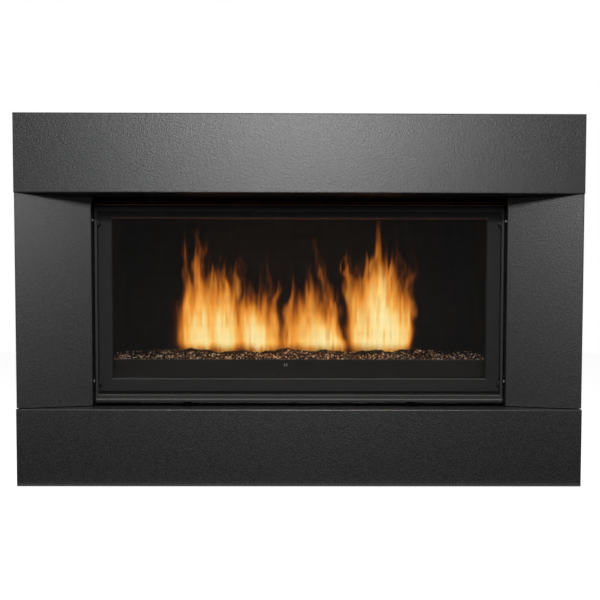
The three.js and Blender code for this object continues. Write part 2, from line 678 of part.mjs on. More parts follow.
const net = { columns: 17, rows: 8, bar: 2.5, thickness: 1.6 };
const netHalf = barrierHalf - rim.side - seat;
const netFoot = barrierFoot + rim.rail + seat;
const netHead = barrierHead - rim.rail - seat;
const netMiddle = (barrierFront + barrierBack) / 2;
const pitchX = (2 * netHalf - net.bar) / net.columns;
const pitchZ = (netHead - netFoot - net.bar) / net.rows;
const netDepth = span(net.thickness / 2, netMiddle);
const upright = (i) => [i * pitchX - netHalf, i * pitchX - netHalf + net.bar];
const level = (j) => [netFoot + j * pitchZ, netFoot + j * pitchZ + net.bar];
const gapsOfRow = (j) => Array.from({ length: net.columns }, (unused, i) => block(
  [upright(i)[1], upright(i + 1)[0]],
  [netDepth[0] - overrun, netDepth[1] + overrun],
  [level(j)[1], level(j + 1)[0]],
));
const netPlate = block(span(netHalf), netDepth, [netFoot, netHead]);
const netGaps = Array.from({ length: net.rows }, (unused, j) => gapsOfRow(j)).flat();
add(barrierGroup, 'barrier_mesh', cut(netPlate, ...netGaps), blackPaint);

// Burner: a tray of crushed glass over a slotted burner tube
const burnerGroup = groupAt(0, burnerY, firebox.floor);
const tray = { sideGap: 8, front: 36, depth: 168, height: 51.7, lip: 6 };
const notch = { half: 35, x: -60, depth: 33, foot: 21 };
const trayHalf = fireboxHalf - tray.sideGap;
const trayFront = flangeFront + tray.front;
const trayBack = trayFront + tray.depth;
const trayFoot = firebox.floor + seat;
const trayTop = trayFoot + tray.height;
const pilotNotch = block(span(notch.half, notch.x), [trayBack - notch.depth, trayBack + overrun],
  [trayFoot + notch.foot, trayTop + surround.height]);
add(burnerGroup, 'burner_tray', cut(
  join(
    cut(
      block(span(trayHalf), [trayFront, trayBack], [trayFoot, trayTop]),
      block(span(trayHalf - sheet), [trayFront + sheet, trayBack - sheet],
        [trayFoot + sheet, trayTop + overrun]),
    ),
    block(span(trayHalf - sheet / 2), [trayFront + sheet / 2, trayFront + tray.lip],
      [trayTop - sheet, trayTop]),
  ),
  riserHole(trayFoot - overrun, trayFoot + sheet + overrun),
  pilotNotch,
), blackPaint);

const riserFoot = firebox.floor - burner.riserDrop;
const boreRadius = burner.radius - burner.wall;
const burnerPorts = Array.from({ length: burner.ports }, (unused, i) => {
  const pitch = (burnerRight - burnerLeft) / burner.ports;
  return block(span(port.half, burnerLeft + pitch * (i + 0.5)), span(port.width / 2, burnerY),
    [burnerZ, burnerZ + burner.radius + overrun]);
});
add(burnerGroup, 'burner_tube', cut(
  join(
    rod('x', burner.radius, [burnerLeft, burnerRight], smallSides).translate([0, burnerY, burnerZ]),
    rod('z', burner.radius, [riserFoot, burnerZ], smallSides).translate([riserX, burnerY, 0]),
  ),
  rod('x', boreRadius, [burnerLeft + burner.wall, burnerRight - burner.wall], smallSides)
    .translate([0, burnerY, burnerZ]),
  rod('z', boreRadius, [riserFoot - overrun, burnerZ], smallSides).translate([riserX, burnerY, 0]),
  ...burnerPorts,
), stainlessSteel);

// Burner: the bed of crushed glass, heaped behind the tray's lip and over the tube
const bed = { rise: 19, columns: 38, rows: 8, ripple: 1.6, waves: 23, edge: 0.8 };
const frontRowShares = [0, 0.03, 0.1, 0.25, 0.5, 0.7, 0.85, 1];
const heapShares = [0, 0, 0.45, 0.8, 1, 0.95, 0.9, 0.8];
const bedX = span(trayHalf - sheet - seat);
const bedY = [trayFront + sheet + seat, trayBack - sheet - seat];
const bedFoot = trayFoot + sheet + seat;
const bedEdge = trayTop - sheet - bed.edge;
function heap() {
  const rows = frontRowShares.length - 1;
  const geometry = new THREE.BoxGeometry(1, 1, 1, bed.columns, rows, 1);
  const position = geometry.attributes.position;
  for (let i = 0; i < position.count; i += 1) {
    const across = position.getX(i) + 0.5;
    const row = Math.round((position.getY(i) + 0.5) * rows);
    const x = bedX[0] + across * (bedX[1] - bedX[0]);
    const y = bedY[0] + frontRowShares[row] * (bedY[1] - bedY[0]);
    const turn = bed.waves * across * 2 * Math.PI;
    const wave = Math.sin(turn + row) * Math.sin(turn / 4 + row * row);
    const top = bedEdge + bed.rise * heapShares[row] + bed.ripple * wave * Math.sign(heapShares[row]);
    position.setXYZ(i, x, y, position.getZ(i) < 0 ? bedFoot : top);
  }
  return solidOf(geometry);
}
const roomed = burner.radius + seat;
add(burnerGroup, 'ember_bed', cut(
  heap(),
  rod('x', roomed, [burnerLeft - seat, burnerRight + seat], smallSides)
    .translate([0, burnerY, burnerZ]),
  rod('z', roomed, [bedFoot - overrun, burnerZ], smallSides).translate([riserX, burnerY, 0]),
  block(span(notch.half + seat, notch.x), [trayBack - notch.depth - seat, trayBack + overrun],
    [bedFoot - overrun, trayTop + surround.height]),
), bronzeGlass);

// Pilot: hood, electrode and flame sensor on one shelf behind the burner tube
const pilot = { half: 26, shelf: 36, shelfDepth: 17, back: 16, spread: 17 };
const hood = { radius: 8, height: 30, wall: 1.2, mouthShare: 0.6 };
const pilotRods = {
  electrode: 2, sensor: 2.6, wire: 0.8, electrodeRise: 26, wireRise: 38, sensorRise: 42, drop: 14,
};
const pilotBack = trayBack - pilot.back;
const shelfZ = trayFoot + pilot.shelf;
const pilotY = pilotBack - pilot.shelfDepth / 2;
const pilotGroup = groupAt(notch.x, pilotY, shelfZ);
const pilotLine = [
  [pilotBack - pilot.shelfDepth, bedFoot],
  [pilotBack, bedFoot],
  [pilotBack, shelfZ],
  [pilotBack - pilot.shelfDepth, shelfZ],
];
const rodHole = (radius, x) => (
  rod('z', radius + seat, [shelfZ - sheet - overrun, shelfZ + overrun], tinySides)
    .translate([x, pilotY, 0])
);
add(pilotGroup, 'pilot_bracket', cut(
  folded('x', pilotLine, span(pilot.half, notch.x)),
  rodHole(pilotRods.electrode, notch.x - pilot.spread),
  rodHole(pilotRods.sensor, notch.x + pilot.spread),
  rodHole(pilotRods.sensor, notch.x),
), zincPlate);
place(pilotGroup, 'pilot_hood', cut(
  join(
    rod('z', hood.radius, [seat, hood.height], smallSides),
    rod('z', pilotRods.sensor, [-pilotRods.drop, seat + sheet], tinySides),
  ),
  rod('z', hood.radius - hood.wall, [hood.height / 3, hood.height - hood.wall], smallSides),
  block(span(hood.radius * hood.mouthShare), [-hood.radius - overrun, 0],
    [hood.height / 2, hood.height - hood.wall]),
), stainlessSteel, [notch.x, pilotY, shelfZ]);
place(pilotGroup, 'spark_electrode', join(
  rod('z', pilotRods.electrode, [-pilotRods.drop, pilotRods.electrodeRise], tinySides),
  rod('z', pilotRods.wire, [pilotRods.electrodeRise - sheet, pilotRods.wireRise], tinySides),
), whiteCeramic, [notch.x - pilot.spread, pilotY, shelfZ]);
const sensorRange = [-pilotRods.drop, pilotRods.sensorRise];
place(pilotGroup, 'flame_sensor', rod('z', pilotRods.sensor, sensorRange, tinySides), stainlessSteel, [
  notch.x + pilot.spread, pilotY, shelfZ,
]);

// Mixer: the venturi under the firebox, its air shutter, and the orifice that feeds it
const venturi = {
  radius: 13.5, wall: 1.5, inlet: 141, window: 10, windowHalf: 4.5, windowInset: 9, drop: 25,
};
const venturiZ = firebox.floor - venturi.drop;
const inletX = riserX - venturi.inlet;
const mixerGroup = groupAt(inletX, burnerY, venturiZ);
const windowX = [inletX + venturi.windowInset, inletX + venturi.windowInset + venturi.window];
const windowZ = span(venturi.windowHalf, venturiZ);
const venturiWindow = block(windowX, span(venturi.radius + overrun, burnerY), windowZ);
const throatRadius = venturi.radius - venturi.wall;
add(mixerGroup, 'venturi', cut(
  join(
    rod('x', venturi.radius, [inletX, riserX + venturi.radius], smallSides).translate([0, burnerY, venturiZ]),
    rod('z', venturi.radius, [venturiZ, riserFoot - seat], smallSides).translate([riserX, burnerY, 0]),
  ),
  rod('x', throatRadius, [inletX - overrun, riserX + throatRadius], smallSides)
    .translate([0, burnerY, venturiZ]),
  rod('z', boreRadius, [venturiZ, riserFoot + overrun], smallSides).translate([riserX, burnerY, 0]),
  venturiWindow,
), castAluminium);
const shutter = { wall: 1.5, tab: 6, tabHalf: 2, margin: 5 };
const shutterInner = venturi.radius + seat;
const shutterX = [windowX[0] - shutter.margin, windowX[1] + shutter.margin];
add(mixerGroup, 'air_shutter', cut(
  join(
    rod('x', shutterInner + shutter.wall, shutterX, smallSides).translate([0, burnerY, venturiZ]),
    block([shutterX[0], shutterX[0] + shutter.margin], span(shutter.tabHalf, burnerY),
      [venturiZ + shutterInner, venturiZ + shutterInner + shutter.wall + shutter.tab]),
  ),
  rod('x', shutterInner, [shutterX[0] - overrun, shutterX[1] + overrun], smallSides)
    .translate([0, burnerY, venturiZ]),
  block(windowX, span(shutterInner + overrun, burnerY), windowZ),
), stainlessSteel);

const bracket = { foot: 24, half: 18, rise: 34 };
const orifice = { thread: 5, hex: 8, hexLength: 12, nozzle: 3, nozzleReach: 8 };
const bracketX = inletX - seat;
add(mixerGroup, 'orifice_bracket', cut(
  folded('y', [
    [deckTop + seat + bracket.rise, bracketX],
    [deckTop + seat, bracketX],
    [deckTop + seat, bracketX - bracket.foot],
  ], span(bracket.half, burnerY)),
  rod('x', orifice.thread + seat, [bracketX - sheet - overrun, bracketX + overrun], tinySides)
    .translate([0, burnerY, venturiZ]),
), galvanisedSteel);
const hexBack = bracketX - sheet - seat;
place(mixerGroup, 'orifice', join(
  extrude('x', ring(orifice.hex, 6), [hexBack - orifice.hexLength, hexBack]),
  rod('x', orifice.thread, [hexBack - sheet, inletX + sheet], tinySides),
  rod('x', orifice.nozzle, [inletX, inletX + orifice.nozzleReach], tinySides),
), brass, [0, burnerY, venturiZ]);

// Controls: plate, gas valve with its knobs, igniter and switch, behind the bottom panel
const plate = { setback: 67, inset: 81.5, width: 280, height: 148, foot: 40, stemPlay: 1 };
const plateLeft = plate.inset - casingInner;
const plateFront = casingFront + plate.setback;
const plateBack = plateFront + sheet;
const controlsGroup = groupAt(0, plateFront, 0);
const controlZ = 92;
const knobShares = { grip: 0.8, skirtDepth: 0.25, gripFoot: 0.2, flute: 0.92 };
const controlInset = { gasKnob: 95, flameKnob: 143, igniter: 200, rocker: 245 };
const gasKnob = {
  x: plateLeft + controlInset.gasKnob, radius: 19, depth: 18, flutes: 12, stem: 4, pointer: 3,
};
const flameKnob = {
  x: plateLeft + controlInset.flameKnob, radius: 13, depth: 16, flutes: 10, stem: 3, pointer: 2.4,
};
const igniter = {
  x: plateLeft + controlInset.igniter, cap: 8, capDepth: 6, stem: 5.5, body: 11, bodyLength: 36, bore: 14,
  travel: 5, gap: 0.2,
};
const rocker = {
  x: plateLeft + controlInset.rocker, half: 7, height: 9.4, front: 8.5, back: 4, wing: 3, lean: 7,
  bezel: 2, wall: 2, bodyDepth: 16,
};
const plateHole = (radius, x) => rod('y', radius, [plateFront - overrun, plateBack + overrun], tinySides)
  .translate([x, 0, controlZ]);
const housingHalf = rocker.half + 2 * seat + rocker.wall;
const housingHeight = rocker.height + rocker.bezel + rocker.wall;
const baseFloor = sheet + seat;
add(controlsGroup, 'control_plate', cut(
  folded('x', [
    [plateFront, plate.height], [plateFront, baseFloor], [plateFront + plate.foot, baseFloor],
  ], [plateLeft, plateLeft + plate.width]),
  plateHole(gasKnob.stem + plate.stemPlay, gasKnob.x),
  plateHole(flameKnob.stem + plate.stemPlay, flameKnob.x),
  plateHole(igniter.stem + plate.stemPlay, igniter.x),
  block(span(housingHalf + seat, rocker.x), [plateFront - overrun, plateBack + overrun],
    span(housingHeight + seat, controlZ)),
), galvanisedSteel);

const valveFront = plateBack + seat;
const outlet = { y: 155, z: 100 };
const bossRange = [valveLeft - valve.bossReach, valveLeft + overrun];
add(controlsGroup, 'gas_valve', join(
  extrude('x', [
    [valveFront, valve.foot + valve.chamfer],
    [valveFront + valve.chamfer, valve.foot],
    [valveFront + valve.depth, valve.foot],
    [valveFront + valve.depth, valve.head - 3 * valve.chamfer],
    [valveFront + valve.depth - 2 * valve.chamfer, valve.head],
    [valveFront, valve.head],
  ], [valveLeft, valveRight]),
  ...[outlet, gasInlet].map(({ y, z }) => (
    rod('x', valve.boss, bossRange, smallSides).translate([0, y, z]))),
  rod('z', valve.coil, [valve.head - overrun, valve.head + valve.coilReach], smallSides)
    .translate([(valveLeft + valveRight) / 2, valveFront + valve.depth / 3, 0]),
), castAluminium);

function knobOf({ radius, depth, flutes, stem, pointer }) {
  const outline = Array.from({ length: flutes * 4 }, (unused, i) => {
    const angle = 2 * Math.PI * i / (flutes * 4);
    const r = i % 4 < 2 ? radius * knobShares.flute : radius;
    return [r * knobShares.grip * Math.cos(angle), r * knobShares.grip * Math.sin(angle)];
  });
  return join(
    rod('y', radius, [-depth * knobShares.skirtDepth, -seat], roundSides),
    extrude('y', outline, [-depth, -depth * knobShares.gripFoot]),
    block(span(pointer / 2), [-depth - pointer / 2, -depth / 2], [0, radius * knobShares.grip]),
    rod('y', stem, [-depth / 2, plateBack - plateFront], tinySides),
  );
}
place(controlsGroup, 'gas_knob', knobOf(gasKnob), blackNylon, [gasKnob.x, plateFront, controlZ]);
place(controlsGroup, 'flame_knob', knobOf(flameKnob), blackNylon, [flameKnob.x, plateFront, controlZ]);

const capShares = { face: 0.8, rim: 0.7 };
const capBack = -igniter.travel - igniter.gap;
place(controlsGroup, 'igniter_button', join(
  turned('y', [
    [0, capBack - igniter.capDepth],
    [igniter.cap * capShares.face, capBack - igniter.capDepth],
    [igniter.cap, capBack - igniter.capDepth * capShares.rim],
    [igniter.cap, capBack],
    [0, capBack],
  ], smallSides),
  rod('y', igniter.stem, [capBack - sheet, igniter.bore / 2], tinySides),
), redNylon, [igniter.x, plateFront, controlZ]);
place(controlsGroup, 'igniter_body', cut(
  rod('y', igniter.body, [valveFront - plateFront, igniter.bodyLength], smallSides),
  rod('y', igniter.stem + seat, [-overrun, igniter.bore + sheet], tinySides),
), blackNylon, [igniter.x, plateFront, controlZ]);

place(controlsGroup, 'switch_housing', cut(
  join(
    block(span(housingHalf + rocker.bezel), [-seat - rocker.bezel, -seat],
      span(housingHeight + rocker.bezel)),
    block(span(housingHalf), [-seat - sheet, rocker.bodyDepth], span(housingHeight)),
  ),
  block(span(rocker.half + seat), [-overrun - rocker.bezel, rocker.bodyDepth - rocker.wall],
    span(rocker.height + rocker.bezel)),
), blackNylon, [rocker.x, plateFront, controlZ]);
const lean = THREE.MathUtils.degToRad(rocker.lean);
const rockerOutline = [
  [-rocker.front, -rocker.height],
  [-rocker.front + rocker.wing, -rocker.height],
  [rocker.back, -rocker.wing],
  [rocker.back, rocker.wing],
  [-rocker.front + rocker.wing, rocker.height],
  [-rocker.front, rocker.height],
  [-rocker.front + rocker.height * Math.tan(lean), 0],
];
const rockerSolid = extrude('x', rockerOutline, span(rocker.half));
const rockerMesh = place(controlsGroup, 'switch_rocker', rockerSolid, blackNylon, [
  rocker.x, plateFront + rocker.front - rocker.wall, controlZ,
]);
rockerMesh.rotation.x = lean;

// Controls: gas line from the nipple through the shut-off to the gas valve, and on to the orifice
const shutOff = {
  inset: 40.5, length: 38, radius: 14, stem: 4, stemRise: 22, lever: 54, leverWidth: 12, leverThick: 2.5,
};
const shutOffLeft = shutOff.inset - casingInner;
const shutOffRight = shutOffLeft + shutOff.length;
const stemX = (shutOffLeft + shutOffRight) / 2;
place(controlsGroup, 'shutoff_valve', join(
  rod('x', gasInlet.radius, [-casingHalf - gasInlet.stub, shutOffLeft + overrun], smallSides),
  extrude('x', ring(shutOff.radius, 8), [shutOffLeft, shutOffRight]),
  rod('z', shutOff.stem, [0, shutOff.stemRise], tinySides).translate([stemX, 0, 0]),
), brass, [0, gasInlet.y, gasInlet.z]);
place(controlsGroup, 'shutoff_lever', join(
  rod('z', shutOff.leverWidth / 2, [0, shutOff.leverThick], smallSides),
  block([-shutOff.lever, 0], span(shutOff.leverWidth / 2), [0, shutOff.leverThick]),
), redNylon, [stemX, gasInlet.y, gasInlet.z + shutOff.stemRise + seat]);
const supplyRadius = 7;
const supplyRange = [shutOffRight + seat, valveLeft - valve.bossReach - seat];
place(controlsGroup, 'supply_tube', rod('x', supplyRadius, supplyRange, smallSides), galvanisedSteel, [
  0, gasInlet.y, gasInlet.z,
]);
const feedStart = hexBack - orifice.hexLength - seat;
const feedEnd = valveLeft - valve.bossReach - seat;
add(mixerGroup, 'feed_tube', alongPath(bentPath([
  [feedStart, burnerY, venturiZ],
  [feedX, burnerY, venturiZ],
  [feedX, burnerY, outlet.z],
  [feedX, outlet.y, outlet.z],
  [feedEnd, outlet.y, outlet.z],
], feed.bend), feed.radius, feed.steps, 8), castAluminium);

// Controls: the electrical junction box on the base tray
const box = { inset: 116.5, half: 45, depth: 42, height: 62, knockout: 11 };
const boxX = casingInner - box.inset;
add(controlsGroup, 'junction_box', cut(
  block(span(box.half, boxX), [plateFront, plateFront + box.depth], [baseFloor, baseFloor + box.height]),
  block(span(box.half - sheet, boxX), [plateFront - overrun, plateFront + box.depth - sheet],
    [baseFloor + sheet, baseFloor + box.height - sheet]),
  rod('x', box.knockout, [boxX + box.half - sheet - overrun, boxX + box.half + overrun], smallSides)
    .translate([0, plateFront + box.depth / 2, baseFloor + box.height / 2]),
), galvanisedSteel);

export default fireplace;
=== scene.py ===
import bpy
import numpy as np
from mathutils import Matrix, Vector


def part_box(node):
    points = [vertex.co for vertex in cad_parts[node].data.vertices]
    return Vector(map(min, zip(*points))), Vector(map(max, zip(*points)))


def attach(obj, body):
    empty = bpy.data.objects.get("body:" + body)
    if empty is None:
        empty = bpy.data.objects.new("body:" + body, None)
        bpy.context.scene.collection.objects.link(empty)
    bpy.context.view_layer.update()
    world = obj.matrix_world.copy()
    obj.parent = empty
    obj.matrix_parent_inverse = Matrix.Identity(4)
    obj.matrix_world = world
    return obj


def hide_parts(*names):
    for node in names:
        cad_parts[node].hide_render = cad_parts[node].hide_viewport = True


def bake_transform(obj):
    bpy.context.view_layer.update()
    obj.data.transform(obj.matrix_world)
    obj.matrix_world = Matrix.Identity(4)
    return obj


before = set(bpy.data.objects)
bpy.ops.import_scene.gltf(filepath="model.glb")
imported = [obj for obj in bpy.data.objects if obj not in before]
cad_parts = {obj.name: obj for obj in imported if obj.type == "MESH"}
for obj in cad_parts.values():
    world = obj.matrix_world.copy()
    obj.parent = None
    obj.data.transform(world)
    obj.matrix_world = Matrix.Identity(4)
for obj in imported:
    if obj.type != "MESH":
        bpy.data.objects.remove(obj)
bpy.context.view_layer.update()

# Casing: a shell, base and top of hot-dip galvanised sheet, 1.5 mm thick, folded and screwed
# together, with the air collar on top, the nailing flanges at its front edges and a deck across
# its inside. The zinc has frozen in flat crystals, each turned its own way.
SPANGLE = 0.011
ZINC_CLOUD = 0.1111
CLOUD_SHARE = 0.45
ZINC_TONES = [(0.0, "#8b9093"), (0.5, "#a3a8aa"), (1.0, "#b9bdbe")]


def tone(hex_code):
    """An sRGB hex value as linear colour: each channel's display curve undone."""
    srgb = np.array([int(hex_code[i:i + 2], 16) for i in (1, 3, 5)]) / 255
    return (*np.where(srgb <= 0.04045, srgb / 12.92, ((srgb + 0.055) / 1.055) ** 2.4), 1.0)


def plug(made, inputs):
    """Gives a node's sockets their values or links. A node given as a value stands for its first output."""
    for socket, value in inputs.items():
        if isinstance(value, bpy.types.Node):
            value = value.outputs[0]
        if isinstance(value, bpy.types.NodeSocket):
            made.id_data.links.new(value, made.inputs[socket])
        else:
            made.inputs[socket].default_value = value
    return made


def node(material, kind, inputs, stops=None, **settings):
    """Adds a shader node with its settings and its sockets' values or links, and a ramp's stops."""
    made = material.node_tree.nodes.new("ShaderNode" + kind)
    for name, value in settings.items():
        setattr(made, name, value)
    if stops:
        elements = made.color_ramp.elements
        while len(elements) < len(stops):
            elements.new(1.0)
        for element, (place, colour) in zip(elements, stops):
            element.position = place
            element.color = tone(colour)
    return plug(made, inputs)


def new_material(name, **sockets):
    """A material of one shader whose sockets hold the values given, and its object coordinates."""
    material = bpy.data.materials.new(name)
    material.use_nodes = True
    shader = material.node_tree.nodes["Principled BSDF"]
    plug(shader, {key.replace("_", " "): value for key, value in sockets.items()})
    return material, shader, node(material, "TexCoord", {}).outputs["Object"]


def coat(material, *names):
    """Puts a material on the CAD nodes named."""
    for name in names:
        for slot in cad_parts[name].material_slots:
            slot.material = material


galvanised, shader, place = new_material("hot_dip_galvanised_steel", Metallic=1.0)
crystal = node(galvanised, "TexVoronoi", {"Vector": place, "Scale": 1 / SPANGLE})
facing = node(galvanised, "SeparateColor", {"Color": crystal.outputs["Color"]})
cloud = node(galvanised, "TexNoise", {"Vector": place, "Scale": 1 / ZINC_CLOUD, "Detail": 4.0})
blend = node(galvanised, "Mix", {"Factor": CLOUD_SHARE, "A": facing, "B": cloud})
plug(shader, {
    "Base Color": node(galvanised, "ValToRGB", {"Fac": blend}, stops=ZINC_TONES),
    "Roughness": node(galvanised, "MapRange", {"Value": facing, "To Min": 0.34, "To Max": 0.5}),
})
coat(galvanised, "casing_shell", "casing_base", "casing_top", "nailing_flange_left",
     "nailing_flange_right", "intake_collar", "compartment_deck", "orifice_bracket", "control_plate",
     "junction_box", "supply_tube")

# Casing screws: pan-head sheet-metal screws through the base tray's flange, the nailing flanges and
# the top sheet. Zinc plating leaves them bright with a faint bluish cast, as it does the surround's
# screws, the glass retainers and the pilot's bracket.
SCREW_HEAD = {"radius": 0.0042, "height": 0.0021}
HEAD_STEPS = 5
HEAD_SIDES = 14
HEAD_SINK = 0.0002
HEAD_LID_SHARE = 0.02
BASE_SCREWS = [(-0.12, 0.009), (0.03, 0.009), (0.18, 0.009)]
FLANGE_SCREWS = [(-0.132, 0.1), (-0.132, 0.35), (-0.132, 0.6)]
ROOF_SCREWS = {"count": 7, "reach": 0.44, "y": -0.142}
STAND_OFF_HEIGHT = 0.053
NAILING_WIDTH = 0.032
SHEET = 0.0015
ZINC_HAZE = 0.003333


def mesh_piece(name, points, faces, material, body=None, smooth=True):
    """A piece from points and faces, smooth or flat shaded, riding on a body where one is named."""
    mesh = bpy.data.meshes.new(name)
    mesh.from_pydata(np.asarray(points).reshape(-1, 3), [], faces)
    mesh.materials.append(material)
    mesh.polygons.foreach_set("use_smooth", np.full(len(mesh.polygons), smooth))
    piece = bpy.data.objects.new(name, mesh)
    bpy.context.scene.collection.objects.link(piece)
    if body:
        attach(piece, body)
    return piece


def grid_faces(rows, columns, wrap=False):
    """The four-sided faces of a grid of points numbered row by row. With wrap, its last column joins
    its first."""
    number = np.arange(rows * columns).reshape(rows, columns)
    after = np.roll(number, -1, 1) if wrap else number[:, 1:]
    here = number if wrap else number[:, :-1]
    return np.stack([here[:-1], after[:-1], after[1:], here[1:]], -1).reshape(-1, 4)


def pan_heads(name, places, outward, head, material):
    """Screw heads: each is a profile r = radius * cos(t), h = height * sin(t)^0.6, turned about its
    outward axis from a little below the sheet and closed by a small lid."""
    t = np.linspace(0, np.pi / 2, HEAD_STEPS)
    turn = np.linspace(0, 2 * np.pi, HEAD_SIDES, endpoint=False)
    r = np.append(head["radius"], head["radius"] * np.cos(t))[:, None]
    h = np.append(-HEAD_SINK, head["height"] * np.sin(t) ** 0.6)[:, None]
    r[-1] = head["radius"] * HEAD_LID_SHARE
    shape = np.stack([r * np.cos(turn), r * np.sin(turn), h + 0 * turn], -1).reshape(-1, 3)
    outward = np.asarray(outward, float)
    aslant = [0.37, 0.61, 0.7]
    across = np.cross(outward, aslant)
    across /= np.linalg.norm(across)
    shape = shape @ np.stack([across, np.cross(outward, across), outward])
    points = np.asarray(places)[:, None] + shape
    first = (np.arange(len(places)) * len(shape))[:, None]
    sides = first[..., None] + grid_faces(HEAD_STEPS + 1, HEAD_SIDES, wrap=True)
    lids = first + HEAD_STEPS * HEAD_SIDES + np.arange(HEAD_SIDES)
    faces = [*sides.reshape(-1, 4).tolist(), *lids.tolist()]
    return mesh_piece(name, points, faces, material, "chassis", smooth=False)


zinc, shader, place = new_material("bright_zinc_plate", Metallic=1.0, Base_Color=tone("#b9bcc0"))
haze = node(zinc, "TexNoise", {"Vector": place, "Scale": 1 / ZINC_HAZE, "Detail": 3.0})
plug(shader, {"Roughness": node(zinc, "MapRange", {"Value": haze, "To Min": 0.22, "To Max": 0.42})})
coat(zinc, "panel_screw_left_upper", "panel_screw_left_lower", "panel_screw_right_upper",
     "panel_screw_right_lower", "glass_retainer_top", "glass_retainer_bottom", "pilot_bracket")

shell_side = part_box("casing_shell")[1].x
for hand, side in (("left", -1), ("right", 1)):
    low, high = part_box(f"nailing_flange_{hand}")
    leg_side = max(abs(low.x), abs(high.x)) - NAILING_WIDTH + SHEET
    base_places = [(side * shell_side, y, z) for y, z in BASE_SCREWS]
    flange_places = [(side * leg_side, y, z) for y, z in FLANGE_SCREWS]
    pan_heads(f"base_screws_{hand}", base_places, (side, 0, 0), SCREW_HEAD, zinc)
    pan_heads(f"flange_screws_{hand}", flange_places, (side, 0, 0), SCREW_HEAD, zinc)
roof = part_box("casing_top")[1].z - STAND_OFF_HEIGHT
row = np.linspace(-ROOF_SCREWS["reach"], ROOF_SCREWS["reach"], ROOF_SCREWS["count"])
pan_heads("roof_screws", [(x, ROOF_SCREWS["y"], roof) for x in row], (0, 0, 1), SCREW_HEAD, zinc)

# Panel magnets: ferrite blocks, one fixed to each jamb, which hold the bottom panel. They are
# pressed from powder and sintered, so they are dark grey and dry on the face.
FERRITE_GRIT = 0.001111
FERRITE_TONES = [(0.3, "#2b2b2d"), (0.7, "#3d3d40")]
ferrite, shader, place = new_material("sintered_ferrite", Roughness=0.6)
grit = node(ferrite, "TexNoise", {"Vector": place, "Scale": 1 / FERRITE_GRIT, "Detail": 2.0})
plug(shader, {"Base Color": node(ferrite, "ValToRGB", {"Fac": grit}, stops=FERRITE_TONES)})
coat(ferrite, "panel_magnet_left", "panel_magnet_right")

# Framing, door frame, barrier rim and tray: folded steel in sprayed silicone stove paint, cured by
# the first fires to a flat, faintly mottled and chalky black. Over the door, from 0.571 m up, it is
# darkened as painted shade and made fully rough. Edges that turn upwards are lightened pale grey as a
# painted highlight, and orange-brown over the door as a painted reflection of the fire.
PAINT_MOTTLE = 0.06
PAINT_GRAIN = 0.0015
PAINT_RELIEF = 0.0002
PAINT_TONES = [(0.3, "#161616"), (0.75, "#1f1e1e")]
HEAD_SHADE_FROM = 0.571
HEAD_SHADE_ALL = 0.579
EDGE_HIGHLIGHT_RADIUS = 0.0022


def upper_edge(material, radius):
    """1 along the edges that a face turns upwards over, within a radius of them: how far up the rounded
    normal points there beyond the face's own normal."""
    rounded = node(material, "Bevel", {"Radius": radius}, samples=6)
    flat = node(material, "NewGeometry", {}).outputs["Normal"]
    heights = [node(material, "SeparateXYZ", {"Vector": way}).outputs["Z"] for way in (rounded, flat)]
    beyond = node(material, "Math", {0: heights[0], 1: heights[1]}, operation="SUBTRACT")
    return node(material, "MapRange", {"Value": beyond, "From Min": 0.06, "From Max": 0.3})


stove_paint, shader, place = new_material("silicone_stove_paint", IOR=1.45, Specular_IOR_Level=0.46)
mottle = node(stove_paint, "TexNoise", {"Vector": place, "Scale": 1 / PAINT_MOTTLE, "Detail": 5.0})
grain = node(stove_paint, "TexNoise", {"Vector": place, "Scale": 1 / PAINT_GRAIN, "Detail": 2.0})
height = node(stove_paint, "SeparateXYZ", {"Vector": place}).outputs["Z"]
# Painted shade over the door's head, from 0.571 m up: darker paint, and a painted fire reflection on its
# edges.
head_shade_and_fire_glint = node(stove_paint, "MapRange", {"Value": height, "From Min": HEAD_SHADE_FROM, "From Max": HEAD_SHADE_ALL})
fresh = node(stove_paint, "ValToRGB", {"Fac": mottle}, stops=PAINT_TONES)
paint_with_head_shade = node(stove_paint, "MixRGB", {"Fac": head_shade_and_fire_glint, "Color1": fresh, "Color2": tone("#0a0a0a")})
# Painted highlight along upward edges: pale grey, and orange-brown over the door as a painted fire
# reflection.
edge_highlight_and_fire_glint = node(stove_paint, "MixRGB", {"Fac": head_shade_and_fire_glint, "Color1": tone("#74716d"), "Color2": tone("#d68a66")})
upper_edge_highlight = upper_edge(stove_paint, EDGE_HIGHLIGHT_RADIUS)
chalk = node(stove_paint, "MapRange", {"Value": mottle, "To Min": 0.55, "To Max": 0.72})
plug(shader, {
    "Base Color": node(stove_paint, "MixRGB", {"Fac": upper_edge_highlight, "Color1": paint_with_head_shade, "Color2": edge_highlight_and_fire_glint}),
    "Roughness": node(stove_paint, "Mix", {"Factor": head_shade_and_fire_glint, "A": chalk, "B": 1.0}),
    "Normal": node(stove_paint, "Bump", {"Height": grain, "Strength": 0.12, "Distance": PAINT_RELIEF}),
})
coat(stove_paint, "jamb_left", "jamb_right", "header_rail", "sill_rail", "firebox_flange",
     "burner_tray", "door_frame", "barrier_frame")

# Firebox and baffle: 1.5 mm steel sheet, the box welded at its corners and painted inside. The fire
# has burnt the paint to a dead flat black with soot in it, so the walls vanish behind the flames.
SOOT_PATCH = 0.09091
SOOT_TONES = [(0.3, "#0d0c0c"), (0.75, "#161413")]
sooted, shader, place = new_material("sooted_stove_paint", IOR=1.45, Roughness=0.9,
                                     Specular_IOR_Level=0.25)
soot = node(sooted, "TexNoise", {"Vector": place, "Scale": 1 / SOOT_PATCH, "Detail": 5.0})
plug(shader, {"Base Color": node(sooted, "ValToRGB", {"Fac": soot}, stops=SOOT_TONES)})
coat(sooted, "firebox", "baffle")

